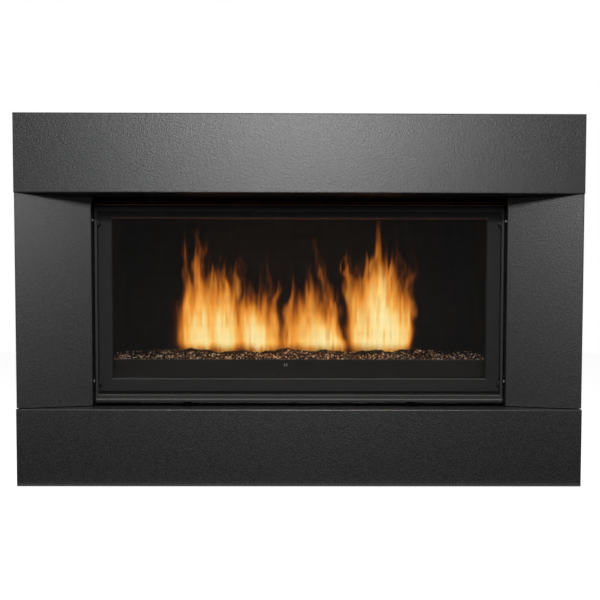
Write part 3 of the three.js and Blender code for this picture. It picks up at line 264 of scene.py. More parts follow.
# Vent, restrictor, pilot hood and air shutter: 304 stainless sheet, satin from the mill, with fine
# lines along its length. The burner tube is the same and has run hot, so straw, bronze and blue
# oxide tints lie on it in patches.
MILL_LINE = {"long": 0.025, "wide": 0.001111}
MILL_TONES = [(0.25, "#a09e99"), (0.75, "#bdbab4")]
HEAT_PATCH = 0.04545
HEAT_TONES = [(0.3, "#a39c8f"), (0.5, "#a8834f"), (0.62, "#7d5a4a"), (0.75, "#5d6277")]
stainless, shader, place = new_material("mill_finish_stainless", Metallic=1.0)
lines = (1 / MILL_LINE["long"], 1 / MILL_LINE["wide"], 1 / MILL_LINE["wide"])
drawn = node(stainless, "Mapping", {"Vector": place, "Scale": lines})
streak = node(stainless, "TexNoise", {"Vector": drawn, "Scale": 1.0, "Detail": 2.0})
plug(shader, {
    "Base Color": node(stainless, "ValToRGB", {"Fac": streak}, stops=MILL_TONES),
    "Roughness": node(stainless, "MapRange", {"Value": streak, "To Min": 0.25, "To Max": 0.4}),
})
coat(stainless, "exhaust_collar", "restrictor_track", "restrictor_plate", "pilot_hood",
     "flame_sensor", "air_shutter")

tinted, shader, place = new_material("heat_tinted_stainless", Metallic=1.0, Roughness=0.36)
heat = node(tinted, "TexNoise", {"Vector": place, "Scale": 1 / HEAT_PATCH, "Detail": 3.0})
plug(shader, {"Base Color": node(tinted, "ValToRGB", {"Fac": heat}, stops=HEAT_TONES)})
coat(tinted, "burner_tube")

# Tray screws: a pair of small zinc-plated screws, driven side by side into the tray's front. Their
# heads are upright ovals, 2.4 times as high as they are wide.
TRAY_SCREW = {"x": (-0.0335, -0.0285), "z": 0.2535, "radius": 0.0016, "height": 0.0016}
OVAL = 2.4
tray_low, tray_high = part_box("burner_tray")
pair = [(x, tray_low.y, TRAY_SCREW["z"]) for x in TRAY_SCREW["x"]]
tray_screws = pan_heads("tray_screws", pair, (0, -1, 0), TRAY_SCREW, zinc)
points = np.zeros(len(tray_screws.data.vertices) * 3)
tray_screws.data.vertices.foreach_get("co", points)
points[2::3] = TRAY_SCREW["z"] + (points[2::3] - TRAY_SCREW["z"]) * OVAL
tray_screws.data.vertices.foreach_set("co", points)

# Crushed glass: tempered bronze glass broken to 3 to 5 mm chips and poured over the burner, heaped
# along it. Each chip is brown glass of a random tone from near black to cream, the palest painted
# glints, and a band of them along the heap's crest is darkened as painted shade. Under the chips the
# bed is one heap, built here in place of the imported ember_bed and left in the darkest tone as
# painted shade between the chips.
CHIP = {
    "size": 0.0038, "count": 16000, "seed": 4, "lift": 0.0016, "side_gap": 0.004, "front_gap": 0.003,
    "size_shares": (0.55, 1.15), "least_shares": (0.7, 0.7, 0.45), "most_shares": (1.2, 1.2, 0.8),
    "push_share": 0.24, "corners": 8, "crowding": 1.8,
}
HEAP = {"below_rim": 0.0035, "rise": 0.0155, "below_chips": 0.0035, "tray_floor": 0.0018}
DEPTH_SHARES = [0, 0.03, 0.1, 0.25, 0.4, 0.55, 0.8, 1]
RISE_SHARES = [0, 0, 0.4, 0.8, 1.25, 1, 0.9, 0.8]
BED_WAVES = [  # height, radians per metre along the bed, radians across it, start
    (0.0026, 23, 0, 1.7), (0.0030, 61, 9, 0), (0.0014, 140, 0, 0)]
SHADED_BAND = {"middle_share": 0.42, "width_share": 0.09, "dark_share": 0.5}
HEAP_ROWS, HEAP_COLUMNS = 44, 220
# The ramp's cream and near-white top stands for painted glints on the chips' facets.
GLASS_TONES_AND_GLINTS = [(0.0, "#060303"), (0.56, "#1e110a"), (0.7, "#7c4e30"), (0.86, "#e0bfa2"), (1.0, "#fdf4ec")]
bed_low, bed_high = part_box("ember_bed")
bed_depth = bed_high.y - bed_low.y


def bed_height(x, y):
    """The heap's height: the tray's rim, a rise that is highest a little before the bed's middle, and
    three sines along the bed, which fade out where the rise does."""
    across = (y - bed_low.y) / bed_depth
    rise = np.interp(across, DEPTH_SHARES, RISE_SHARES)
    waves = np.zeros_like(x)
    for lift, along, over, start in BED_WAVES:
        waves += lift * np.sin(along * x + over * across + start)
    return tray_high.z - HEAP["below_rim"] + HEAP["rise"] * rise + waves * np.clip(rise, 0, 1)


def mark(piece, label, values):
    """Stores a value at each point of a piece, for its material to read."""
    attribute = piece.data.attributes.new(label, "FLOAT", "POINT")
    attribute.data.foreach_set("value", values.astype(np.float32))


def chips(name):
    """Boxes with each corner pushed about, turned at random and set on the heap, closer together
    towards its front. The darkest lie in the band of painted shade, a bell curve across the bed."""
    chance = np.random.default_rng(CHIP["seed"])
    count = CHIP["count"]
    x = chance.uniform(bed_low.x + CHIP["side_gap"], bed_high.x - CHIP["side_gap"], count)
    back = chance.uniform(0, 1, count) ** CHIP["crowding"]
    y = bed_low.y + CHIP["front_gap"] + (bed_depth - 2 * CHIP["front_gap"]) * back
    corners = np.array([[a, b, c] for a in (-1, 1) for b in (-1, 1) for c in (-1, 1)]) / 2
    size = CHIP["size"] * chance.uniform(*CHIP["size_shares"], (count, 1, 1))
    size = size * chance.uniform(CHIP["least_shares"], CHIP["most_shares"], (count, 3))[:, None]
    push = chance.uniform(-CHIP["push_share"], CHIP["push_share"], (count, CHIP["corners"], 3))
    shape = (corners + push) * size
    axis = chance.normal(size=(count, 4))
    w, a, b, c = (axis / np.linalg.norm(axis, axis=1, keepdims=True)).T
    turn = np.stack([
        1 - 2 * (b * b + c * c), 2 * (a * b - c * w), 2 * (a * c + b * w),
        2 * (a * b + c * w), 1 - 2 * (a * a + c * c), 2 * (b * c - a * w),
        2 * (a * c - b * w), 2 * (b * c + a * w), 1 - 2 * (a * a + b * b)], -1).reshape(count, 3, 3)
    centre = np.stack([x, y, bed_height(x, y) + CHIP["lift"] * chance.uniform(-1, 1, count)], -1)
    points = np.einsum("nij,nkj->nki", turn, shape) + centre[:, None]
    sides = np.array([[0, 1, 3, 2], [4, 6, 7, 5], [0, 4, 5, 1], [2, 3, 7, 6], [0, 2, 6, 4], [1, 5, 7, 3]])
    faces = (np.arange(count) * CHIP["corners"])[:, None, None] + sides
    piece = mesh_piece(name, points, faces.reshape(-1, 4), bronze_glass, "chassis", smooth=False)
    # Painted shade: chips in a band along the heap's crest are darkened.
    off_band = ((y - bed_low.y) / bed_depth - SHADED_BAND["middle_share"]) / SHADED_BAND["width_share"]
    unshaded = 1 - SHADED_BAND["dark_share"] * np.exp(-off_band ** 2)
    mark(piece, "tone_glint_and_shade", np.repeat(chance.uniform(0, 1, count) * unshaded, CHIP["corners"]))
    return piece


bronze_glass, shader = new_material("tempered_bronze_glass", IOR=1.52)[:2]
tone_glint_and_shade = node(bronze_glass, "Attribute", {}, attribute_name="tone_glint_and_shade").outputs["Fac"]
plug(shader, {
    "Base Color": node(bronze_glass, "ValToRGB", {"Fac": tone_glint_and_shade}, stops=GLASS_TONES_AND_GLINTS),
    "Roughness": node(bronze_glass, "MapRange", {"Value": tone_glint_and_shade, "To Min": 0.05, "To Max": 0.2}),
})
top_chips = chips("crushed_glass_top")
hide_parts("ember_bed")

u, v = np.meshgrid(np.linspace(bed_low.x, bed_high.x, HEAP_COLUMNS),
                   np.linspace(bed_low.y, bed_high.y, HEAP_ROWS))
top = np.stack([u, v, bed_height(u, v) - HEAP["below_chips"]], -1)
foot = np.stack([u, v, np.full_like(u, tray_low.z + HEAP["tray_floor"])], -1)
number = np.arange(HEAP_ROWS * HEAP_COLUMNS).reshape(HEAP_ROWS, HEAP_COLUMNS)
rim = np.concatenate([number[0], number[1:, -1], number[-1, -2::-1], number[-2:0:-1, 0]])
following = np.roll(rim, -1)
wall = np.stack([following, rim, rim + number.size, following + number.size], -1)
surface = grid_faces(HEAP_ROWS, HEAP_COLUMNS)
faces = np.concatenate([surface, wall, surface[:, ::-1] + number.size])
# The heap has no tone attribute, so it takes the darkest tone: painted shade between the chips.
heap = mesh_piece("crushed_glass_heap", np.stack([top, foot]), faces, bronze_glass, "chassis")
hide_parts("ember_bed")

# Flames: burning gas over the burner's slots, in four bunches. Each bunch is a body of orange that
# frays into brown wisps at its top and sides, with hearts of pale yellow low in it. Three thin
# sheets of it stand one behind the other.
FLAME = {"foot": 0.279, "top": 0.6, "left": -0.315, "right": 0.305, "step": 0.0016, "rows": 130}
FLAME_SHEETS = [  # name, place behind the burner's middle line, opacity
    ("flames_back", 0.014, 0.8), ("flames_middle", 0.0, 0.6), ("flames_front", -0.014, 0.45)]
FLAME_TONES = [
    (0.0, "#3a1806"), (0.16, "#7a3c12"), (0.32, "#c26a1c"), (0.46, "#e48a2c"), (0.6, "#f8a544"),
    (0.74, "#ffc060"), (0.86, "#ffdd8c"), (1.0, "#fff1b8")]
FRAY = [(0.06, 0.0045, 0.07), (0.09, 0.014, 0.08)]
LEAN = [(0.0075, 0.035, 0.05), (0.0028, 0.012, 0.03)]
STREAKS = [(0.3, 0.0055, 0.04), (0.2, 0.012, 0.05)]
UNEVEN_FOOT = [(0.003, 0.02, 1)]
FAINT_FOOT = {"low": 0.004, "height": 0.022, "share": 0.3}
GLOW_GAIN = 0.85
COVER_GAIN = 2.1
THINNEST = 0.012
SWAY = {"wide": 0.006, "fine": 0.004}
TONGUES = np.array([  # foot x, tip x, tip z, half width, in millimetres, and strength
    (-264, -268, 460, 24, 0.9), (-238, -236, 515, 30, 0.95), (-208, -208, 470, 30, 0.95),
    (-182, -190, 495, 30, 1.0), (-158, -160, 470, 22, 0.9), (-124, -130, 430, 20, 0.85),
    (-100, -104, 440, 28, 1.0), (-68, -64, 425, 26, 0.9), (-22, -16, 440, 17, 0.8),
    (6, 4, 430, 20, 0.9), (30, 26, 470, 26, 1.0), (58, 44, 440, 24, 1.0),
    (84, 62, 385, 22, 0.95), (106, 92, 340, 16, 0.8), (138, 128, 470, 17, 0.85),
    (160, 156, 505, 24, 1.0), (188, 187, 535, 28, 1.1), (216, 218, 510, 24, 1.0),
    (238, 240, 480, 20, 0.9), (252, 254, 395, 12, 0.7), (-226, -230, 440, 12, 0.9),
    (-174, -184, 452, 14, 1.9), (-240, -244, 400, 10, 0.6), (-104, -108, 400, 17, 2.0),
    (-90, -96, 360, 26, 0.8), (14, 10, 390, 13, 0.8), (44, 34, 392, 20, 0.9),
    (66, 56, 378, 22, 1.6), (84, 72, 340, 22, 0.8), (166, 168, 490, 20, 1.4),
    (186, 188, 500, 20, 1.5), (208, 206, 480, 20, 1.3), (232, 232, 400, 16, 0.7),
    (-262, -274, 548, 9, 0.6), (-240, -238, 566, 12, 0.9), (-222, -212, 522, 8, 0.5),
    (-196, -204, 515, 7, 0.5), (-188, -180, 528, 10, 0.7), (-160, -146, 515, 9, 0.55),
    (-122, -142, 512, 9, 0.6), (-84, -78, 490, 10, 0.65), (-60, -54, 470, 7, 0.45),
    (-28, -12, 474, 8, 0.45), (40, 14, 500, 8, 0.45), (92, 40, 548, 13, 0.7),
    (88, 86, 430, 10, 0.45), (142, 96, 542, 12, 0.9), (150, 120, 530, 9, 0.6),
    (182, 190, 592, 9, 0.5), (202, 198, 562, 9, 0.6), (216, 214, 548, 8, 0.6),
    (230, 238, 560, 8, 0.6), (246, 276, 520, 14, 0.8), (258, 268, 430, 8, 0.4),
])


def ripples(chance, x, z, waves):
    """A sum of waves, each given as its strength and its knots' spacing along x and z: random values
    at the knots, with a smooth step from each knot to the next."""
    total = np.zeros_like(x)
    for strength, across, up in waves:
        column, row = (x - x.min()) / across, (z - z.min()) / up
        i, j = column.astype(int), row.astype(int)
        s, t = column - i, row - j
        s, t = s * s * (3 - 2 * s), t * t * (3 - 2 * t)
        knots = chance.normal(size=(j.max() + 2, i.max() + 2))
        lower = knots[j, i] * (1 - s) + knots[j, i + 1] * s
        upper = knots[j + 1, i] * (1 - s) + knots[j + 1, i + 1] * s
        total += strength * (lower * (1 - t) + upper * t)
    return total


def flame_sheet(name, y, share, seed):
    """A standing sheet over the burner. Each tongue adds a flat-topped bell across its leaning middle
    line, as wide as (1 - h)^0.8 (1 + 0.9 h) at the share h of its height, and as strong as 1 - h^1.3.
    Ripples fray the tongues' heights and sides and streak their sum. Heat and opacity rise towards 1
    with the sum, and the foot is fainter. Two sines bend the sheet to and fro, the wide one more
    with height."""
    chance = np.random.default_rng(seed)
    foot, top = FLAME["foot"], FLAME["top"]
    x, z = np.meshgrid(np.arange(FLAME["left"], FLAME["right"], FLAME["step"]),
                       np.linspace(foot, top, FLAME["rows"]))
    fray = 1 + ripples(chance, x, z, FRAY)
    lean = ripples(chance, x, z, LEAN)
    total = np.zeros_like(x)
    for start, tip, head, half, strength in TONGUES * [1e-3, 1e-3, 1e-3, 1e-3, 1]:
        h = np.clip((z - foot) / (head - foot) / fray, 0, 1)
        middle = start + (tip - start) * h ** 1.4 + lean * (0.3 + h)
        width = half * (0.92 * (1 - h) ** 0.8 * (1 + 0.9 * h) + 0.08)
        bell = np.exp(-(np.abs(x - middle) / width) ** 2.4)
        total += strength * bell * np.clip(1 - h ** 1.3, 0, 1)
    total *= np.clip(1 + ripples(chance, x, z, STREAKS), 0.1, 2)
    low = foot + FAINT_FOOT["low"] + ripples(chance, x, z, UNEVEN_FOOT)
    clear = np.clip((z - low) / FAINT_FOOT["height"], 0, 1)
    body = FAINT_FOOT["share"] + (1 - FAINT_FOOT["share"]) * clear
    total *= body
    glow = 1 - np.exp(-GLOW_GAIN * total)
    cover = share * (1 - np.exp(-COVER_GAIN * total)) * body
    cover[[0, -1]] = 0
    cover[cover < THINNEST] = 0
    sway = y + SWAY["wide"] * np.sin(38 * x + seed) * (1 + 2 * (z - foot))
    sway += SWAY["fine"] * np.sin(17 * z + 9 * x)
    faces = grid_faces(*x.shape)
    seen = cover.reshape(-1)[faces].max(1) > 0
    keep, places = np.unique(faces[seen], return_inverse=True)
    points = np.stack([x, sway, z], -1).reshape(-1, 3)[keep]
    piece = mesh_piece(name, points, places.reshape(-1, 4), flame, "chassis")
    mark(piece, "glow", glow.reshape(-1)[keep])
    mark(piece, "cover", cover.reshape(-1)[keep])
    return piece


flame, shader = new_material("luminous_gas_flame", Base_Color=tone("#000000"), Roughness=1.0,
                             Specular_IOR_Level=0.0, Emission_Strength=1.5)[:2]
glow = node(flame, "Attribute", {}, attribute_name="glow").outputs["Fac"]
plug(shader, {
    "Emission Color": node(flame, "ValToRGB", {"Fac": glow}, stops=FLAME_TONES),
    "Alpha": node(flame, "Attribute", {}, attribute_name="cover").outputs["Fac"],
})
burner_y = sum(corner.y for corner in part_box("burner_tube")) / 2
for seed, (name, back, share) in enumerate(FLAME_SHEETS, 1):
    flame_sheet(name, burner_y + back, share, seed)

# Pilot: the spark electrode's rod is alumina, pressed, fired and glazed, so it is white with a soft
# gloss. It stands on the pilot's shelf behind the burner tube.
ALUMINA_SPECK = 0.001429
ALUMINA_TONES = [(0.3, "#d9d4c8"), (0.7, "#ece8de")]
alumina, shader, place = new_material("glazed_alumina", Roughness=0.25, Coat_Weight=0.4)
speck = node(alumina, "TexNoise", {"Vector": place, "Scale": 1 / ALUMINA_SPECK, "Detail": 2.0})
plug(shader, {"Base Color": node(alumina, "ValToRGB", {"Fac": speck}, stops=ALUMINA_TONES)})
coat(alumina, "spark_electrode")

# Mixer and gas valve: die-cast and sand-cast aluminium, bead blasted, with a grainy pale grey skin.
# The feed tube is soft drawn aluminium.
CAST_PIT = {"size": 0.001538, "relief": 0.0003}
CAST_TONES = [(0.3, "#8d8f91"), (0.7, "#a9abac")]
cast, shader, place = new_material("blasted_cast_aluminium", Metallic=1.0)
pits = node(cast, "TexNoise", {"Vector": place, "Scale": 1 / CAST_PIT["size"], "Detail": 4.0})
plug(shader, {
    "Base Color": node(cast, "ValToRGB", {"Fac": pits}, stops=CAST_TONES),
    "Roughness": node(cast, "MapRange", {"Value": pits, "To Min": 0.42, "To Max": 0.62}),
    "Normal": node(cast, "Bump", {"Height": pits, "Strength": 0.35, "Distance": CAST_PIT["relief"]}),
})
coat(cast, "venturi", "gas_valve", "feed_tube")

# Orifice and shut-off valve: turned from brass bar, with fine lathe rings and a little tarnish. The
# orifice feeds the venturi, and the valve shuts the gas line.
LATHE_RING = {"width": 0.000748, "relief": 0.0001}
WAVE_WIDTH = np.pi / 10  # of one band of the wave texture at scale 1
TARNISH_PATCH = 0.008333
BRASS_TONES = [(0.3, "#9a7a3c"), (0.7, "#c9a55a")]
brass, shader, place = new_material("turned_brass", Metallic=1.0, Roughness=0.3)
lathe = node(brass, "TexWave", {"Vector": place, "Scale": WAVE_WIDTH / LATHE_RING["width"],
                                 "Distortion": 0.4}, bands_direction="X").outputs["Fac"]
tarnish = node(brass, "TexNoise", {"Vector": place, "Scale": 1 / TARNISH_PATCH, "Detail": 3.0})
plug(shader, {
    "Base Color": node(brass, "ValToRGB", {"Fac": tarnish}, stops=BRASS_TONES),
    "Normal": node(brass, "Bump", {"Height": lathe, "Strength": 0.15, "Distance": LATHE_RING["relief"]}),
})
coat(brass, "orifice", "shutoff_valve")

# Knobs, igniter body and switch: glass-filled black nylon, moulded with a fine spark grain that
# keeps them from shining. They stand behind the bottom panel, the knobs on the gas valve.
SPARK_GRAIN = {"size": 0.0009091, "relief": 0.0002}
NYLON_TONES = [(0.3, "#1a1a1b"), (0.7, "#262628")]
nylon, shader, place = new_material("moulded_black_nylon", Roughness=0.5)
spark = node(nylon, "TexNoise", {"Vector": place, "Scale": 1 / SPARK_GRAIN["size"], "Detail": 2.0})
plug(shader, {
    "Base Color": node(nylon, "ValToRGB", {"Fac": spark}, stops=NYLON_TONES),
    "Normal": node(nylon, "Bump", {"Height": spark, "Strength": 0.3, "Distance": SPARK_GRAIN["relief"]}),
})
coat(nylon, "gas_knob", "flame_knob", "igniter_body", "switch_housing", "switch_rocker")

# Igniter button and shut-off lever: the button is moulded red acetal, the lever is dipped in red
# vinyl. Both are smooth and slightly waxy.
WAX_PATCH = 0.01111
RED_TONES = [(0.3, "#8e1812"), (0.7, "#a8221a")]
red, shader, place = new_material("red_acetal", Roughness=0.3, Coat_Weight=0.15)
wax = node(red, "TexNoise", {"Vector": place, "Scale": 1 / WAX_PATCH, "Detail": 3.0})
plug(shader, {"Base Color": node(red, "ValToRGB", {"Fac": wax}, stops=RED_TONES)})
coat(red, "igniter_button", "shutoff_lever")

# Door glass: 5 mm glass ceramic, rolled clear, with a coating on both faces that takes off nearly all
# of their reflection, so the fire is seen and the room isn't.
ceramic_glass = new_material("coated_glass_ceramic", Base_Color=tone("#faf7f1"), Roughness=0.0,
                             IOR=1.5, Transmission_Weight=1.0, Specular_Tint=tone("#4a4d55"))[0]
coat(ceramic_glass, "door_glass")

# Door gasket: a flat-laid rope of braided glass fibre round the glass, dyed with graphite, which the
# flange squeezes. Its strands cross every 4 mm.
ROPE = {"width": 0.0088, "corner": 0.006, "strand": 0.004, "relief_share": 0.07}
ROPE_STEPS = 1200
ROPE_SIDES = 16
CORNER_STEPS = 9
FIBRE_FUZZ = 0.0006667
FIBRE_TONES = [(0.25, "#1b1a19"), (0.75, "#302e2b")]


def rope_loop(name, low, high, material):
    """A rope round a rectangle with rounded corners: its section is an oval, and the braid lifts it by
    the product of two waves that run round the rope in opposite turns."""
    middle, width = (low + high) / 2, ROPE["width"]
    reach = (np.array([high.x - low.x, high.z - low.z]) - width) / 2 - ROPE["corner"]
    bend = np.linspace(0, np.pi / 2, CORNER_STEPS)
    legs = []
    for quarter, signs in enumerate([(1, 1), (-1, 1), (-1, -1), (1, -1)]):
        angle = bend + quarter * np.pi / 2
        legs.append(reach * signs + ROPE["corner"] * np.stack([np.cos(angle), np.sin(angle)], -1))
    line = np.concatenate([*legs, legs[0][:1]])
    gone = np.append(0, np.cumsum(np.linalg.norm(np.diff(line, axis=0), axis=1)))
    along = np.linspace(0, gone[-1], ROPE_STEPS, endpoint=False)
    path = np.stack([np.interp(along, gone, line[:, i]) for i in (0, 1)], -1)
    ahead = np.roll(path, -1, 0) - np.roll(path, 1, 0)
    outward = np.stack([ahead[:, 1], -ahead[:, 0]], -1) / np.linalg.norm(ahead, axis=1, keepdims=True)
    angle = np.linspace(0, 2 * np.pi, ROPE_SIDES, endpoint=False)
    turns = np.pi * along[:, None] / ROPE["strand"]
    braid = np.abs(np.sin(turns + 2 * angle) * np.sin(turns - 2 * angle))
    swell = 1 - ROPE["relief_share"] * (1 - braid)
    side = width / 2 * np.cos(angle) * swell
    x = middle.x + path[:, :1] + outward[:, :1] * side
    z = middle.z + path[:, 1:] + outward[:, 1:] * side
    y = middle.y + (high.y - low.y) / 2 * np.sin(angle) * swell
    first = np.arange(ROPE_SIDES)
    last = (ROPE_STEPS - 1) * ROPE_SIDES + first
    seam = np.stack([last, np.roll(last, -1), np.roll(first, -1), first], -1)
    faces = np.concatenate([grid_faces(ROPE_STEPS, ROPE_SIDES, wrap=True), seam])
    return mesh_piece(name, np.stack([x, y, z], -1), faces, material, "door")


fibre, shader, place = new_material("braided_glass_fibre", Roughness=0.95, Sheen_Weight=0.3)
fuzz = node(fibre, "TexNoise", {"Vector": place, "Scale": 1 / FIBRE_FUZZ, "Detail": 2.0})
plug(shader, {"Base Color": node(fibre, "ValToRGB", {"Fac": fuzz}, stops=FIBRE_TONES)})
gasket = rope_loop("gasket_rope", *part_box("door_gasket"), fibre)
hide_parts("door_gasket")

# Door springs: extension springs of stainless wire, wound nearly close, with a looped hook at each
# end. They go from the flange's anchor up to the tab at the door's foot, and the heat under the door
# has browned them dark.
SPRING = {"coil": 0.0042, "wire": 0.0007, "loop": 0.0030, "turns": 22}  # radii, and turns
TURN_STEPS = 14
LOOP_STEPS = 18
LOOP_ARC = 1.75 * np.pi
DRAW_IN = 18
WIRE_SIDES = 8
WIRE_SCALE = 0.0025
WIRE_TONES = [(0.3, "#2b2724"), (0.7, "#474039")]


def hooked_spring(name, centre, foot, head, material):
    """A wire along a coil of constant pitch whose ends draw in to the axis, over an eighteenth of the
    length each, and close in an upright loop."""
    loop = SPRING["loop"]
    span = np.linspace(0, 1, SPRING["turns"] * TURN_STEPS)
    angle = 2 * np.pi * SPRING["turns"] * span
    radius = SPRING["coil"] * np.clip(np.minimum(span, 1 - span) * DRAW_IN, 0, 1) ** 0.7
    low, high = foot + 2 * loop, head - 2 * loop
    coil = np.stack([radius * np.cos(angle), radius * np.sin(angle), low + (high - low) * span], -1)
    swing = np.linspace(0, LOOP_ARC, LOOP_STEPS)
    across, up = loop * np.sin(swing), loop - loop * np.cos(swing)
    upper = np.stack([0 * swing, across, high + up], -1)[1:]
    lower = np.stack([0 * swing, across, low - up], -1)[:0:-1]
    path = np.concatenate([lower, coil, upper]) + [centre.x, centre.y, 0]
    ahead = np.gradient(path, axis=0)
    ahead /= np.linalg.norm(ahead, axis=1, keepdims=True)
    aslant = [0.3, 0.2, 0.93]
    first = np.cross(ahead, aslant)
    first /= np.linalg.norm(first, axis=1, keepdims=True)
    second = np.cross(ahead, first)
    turn = np.linspace(0, 2 * np.pi, WIRE_SIDES, endpoint=False)[None, :, None]
    round_wire = first[:, None] * np.cos(turn) + second[:, None] * np.sin(turn)
    tube = path[:, None] + SPRING["wire"] * round_wire
    start = np.arange(WIRE_SIDES)
    end = (len(path) - 1) * WIRE_SIDES + start[::-1]
    sides = grid_faces(len(path), WIRE_SIDES, wrap=True)[:, ::-1]
    piece = mesh_piece(name, tube, [*sides.tolist(), start.tolist(), end.tolist()], material)
    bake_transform(piece)
    return piece


browned, shader, place = new_material("heat_browned_stainless_wire", Metallic=1.0, Roughness=0.5)
scale = node(browned, "TexNoise", {"Vector": place, "Scale": 1 / WIRE_SCALE, "Detail": 2.0})
plug(shader, {"Base Color": node(browned, "ValToRGB", {"Fac": scale}, stops=WIRE_TONES)})
for hand in ("left", "right"):
    low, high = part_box(f"door_spring_{hand}")
    spring = hooked_spring(f"hooked_spring_{hand}", (low + high) / 2, low.z, high.z, browned)
    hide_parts(f"door_spring_{hand}")

# Barrier net: steel wire, 0.4 mm thick every 2.4 mm, laid both ways in two layers, blackened and
# clamped in the rim. From a step away it can't be counted and reads as a dark veil over the fire.
WIRE = {"pitch": 0.0024, "half": 0.0002, "edge": 0.001}
OXIDE_PATCH = 0.025
OXIDE_TONES = [(0.3, "#171717"), (0.7, "#232323")]


def wires(name, first, last, low, high, level, upright):
    """Straight four-sided wires: one for each place from first to last, from low to high."""
    place = np.arange(first, last, WIRE["pitch"])
    half = WIRE["half"]
    ring = np.array([[-half, 0], [0, -half], [half, 0], [0, half]])
    shape = (len(place), 2, len(ring))
    across = np.broadcast_to(place[:, None, None] + ring[:, 0], shape)
    along = np.broadcast_to(np.array([low, high])[:, None], shape)
    depth = np.broadcast_to(level + ring[:, 1], shape)
    points = np.stack([across, depth, along] if upright else [along, depth, across], -1)
    box = np.array([[0, 1, 5, 4], [1, 2, 6, 5], [2, 3, 7, 6], [3, 0, 4, 7], [3, 2, 1, 0], [4, 5, 6, 7]])
    box = box if upright else box[:, ::-1]
    faces = ((np.arange(len(place)) * 2 * len(ring))[:, None, None] + box).reshape(-1, 4)
    piece = mesh_piece(name, points, faces, blackened, "barrier", smooth=False)
    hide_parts("barrier_mesh")


blackened, shader, place = new_material("blackened_wire", Roughness=0.5)
oxide = node(blackened, "TexNoise", {"Vector": place, "Scale": 1 / OXIDE_PATCH, "Detail": 2.0})
plug(shader, {"Base Color": node(blackened, "ValToRGB", {"Fac": oxide}, stops=OXIDE_TONES)})
low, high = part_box("barrier_mesh")
back, front = (low.y + high.y) / 2 + WIRE["half"], (low.y + high.y) / 2 - WIRE["half"]
wires("net_uprights", low.x + WIRE["edge"], high.x, low.z, high.z, back, True)
wires("net_levels", low.z + WIRE["edge"], high.z, low.x, high.x, front, False)

# Surround: four panels of 1.5 mm steel, folded, with charcoal polyester powder baked on. The powder
# melts to a fine orange-peel grain, drawn at 2.5 mm here because its real 0.5 mm wouldn't show.
POWDER_GRAIN = {"size": 0.0025, "relief": 0.0008}
POWDER_TONES = [(0.36, "#111112"), (0.64, "#29292a")]
powder, shader, place = new_material("charcoal_powder_coat", IOR=1.5, Specular_IOR_Level=0.5)
peel = node(powder, "TexNoise", {"Vector": place, "Scale": 1 / POWDER_GRAIN["size"], "Detail": 3.0,
                                 "Roughness": 0.6})
plug(shader, {
    "Base Color": node(powder, "ValToRGB", {"Fac": peel}, stops=POWDER_TONES),
    "Roughness": node(powder, "MapRange", {"Value": peel, "To Min": 0.32, "To Max": 0.42}),
    "Normal": node(powder, "Bump", {"Height": peel, "Strength": 0.6, "Distance": POWDER_GRAIN["relief"]}),
})
coat(powder, "top_panel", "side_panel_left", "side_panel_right", "bottom_panel")

# Stage: a pale floor. It stays white to the camera, in mirrors and through panes, but for the
# object's shadow.
FLOOR_CORNERS = [(-6, -5, 0), (6, -5, 0), (6, 8, 0), (-6, 8, 0)]
FLOOR_GLOW = 0.84


def white_to(material):
    """1 for the rays that see the background: the camera's own, and those that a mirror or a pane
    passes on."""
    ray = node(material, "LightPath", {}).outputs
    direct, mirrored, passed = ray["Is Camera Ray"], ray["Is Glossy Ray"], ray["Is Transmission Ray"]
    seen = node(material, "Math", {0: direct, 1: mirrored}, operation="MAXIMUM").outputs[0]
    return node(material, "Math", {0: seen, 1: passed}, operation="MAXIMUM").outputs[0]


pale, shader = new_material("pale_floor", Base_Color=tone("#e9e9e9"), Roughness=0.9)[:2]
plug(shader, {
    "Emission Color": tone("#ffffff"),
    "Emission Strength": node(pale, "Math", {0: white_to(pale), 1: FLOOR_GLOW}, operation="MULTIPLY"),
})
floor = mesh_piece("floor", FLOOR_CORNERS, [(0, 1, 2, 3)], pale, smooth=False)

# Light: one soft panel high in front, a weak fill from each side and a white room. A black studio
# cloth hangs behind the camera, lies along the floor in front and hangs close behind the surround's
# edges, so that the panels and the glass mirror little.
ROOM_LIGHT = 0.05
CLOTH_CORNERS = [  # behind the camera, on the floor, at the left edge and at the right one
    (-4, -4.2, 0.003), (4, -4.2, 0.003), (4, -4.2, 3.2), (-4, -4.2, 3.2),
    (-1.8, -4.2, 0.003), (1.8, -4.2, 0.003), (0.85, -0.24, 0.003), (-0.85, -0.24, 0.003),
    (-0.8, -0.135, 0.003), (-0.49, -0.135, 0.003), (-0.49, -0.135, 0.78), (-0.8, -0.135, 0.78),
    (0.49, -0.135, 0.003), (0.8, -0.135, 0.003), (0.8, -0.135, 0.78), (0.49, -0.135, 0.78),
]
LAMPS = [  # name, place, aim, size, watts
    ("overhead_panel", (0.0, -3.1, 1.62), (0, -0.2, 0.7), (0.5, 0.6), 80),
    ("left_fill", (-2.2, -2.0, 1.4), (0, -0.2, 0.4), (1.2, 1.2), 2),
    ("right_fill", (2.2, -2.0, 1.4), (0, -0.2, 0.4), (1.2, 1.2), 2),
]


def soft_panel(name, centre, aim, size, watts):
    """An area lamp at a point, turned to face another."""
    lamp = bpy.data.lights.new(name, "AREA")
    lamp.shape = "RECTANGLE"
    lamp.size, lamp.size_y = size
    lamp.energy = watts
    holder = bpy.data.objects.new(name, lamp)
    away = np.array(centre, float) - aim
    away /= np.linalg.norm(away)
    across = np.cross([0, 0, 1], away)
    across /= np.linalg.norm(across)
    turned = Matrix(np.stack([across, np.cross(away, across), away], -1).tolist()).to_4x4()
    turned.translation = centre
    holder.matrix_world = turned
    bpy.context.scene.collection.objects.link(holder)
    return holder


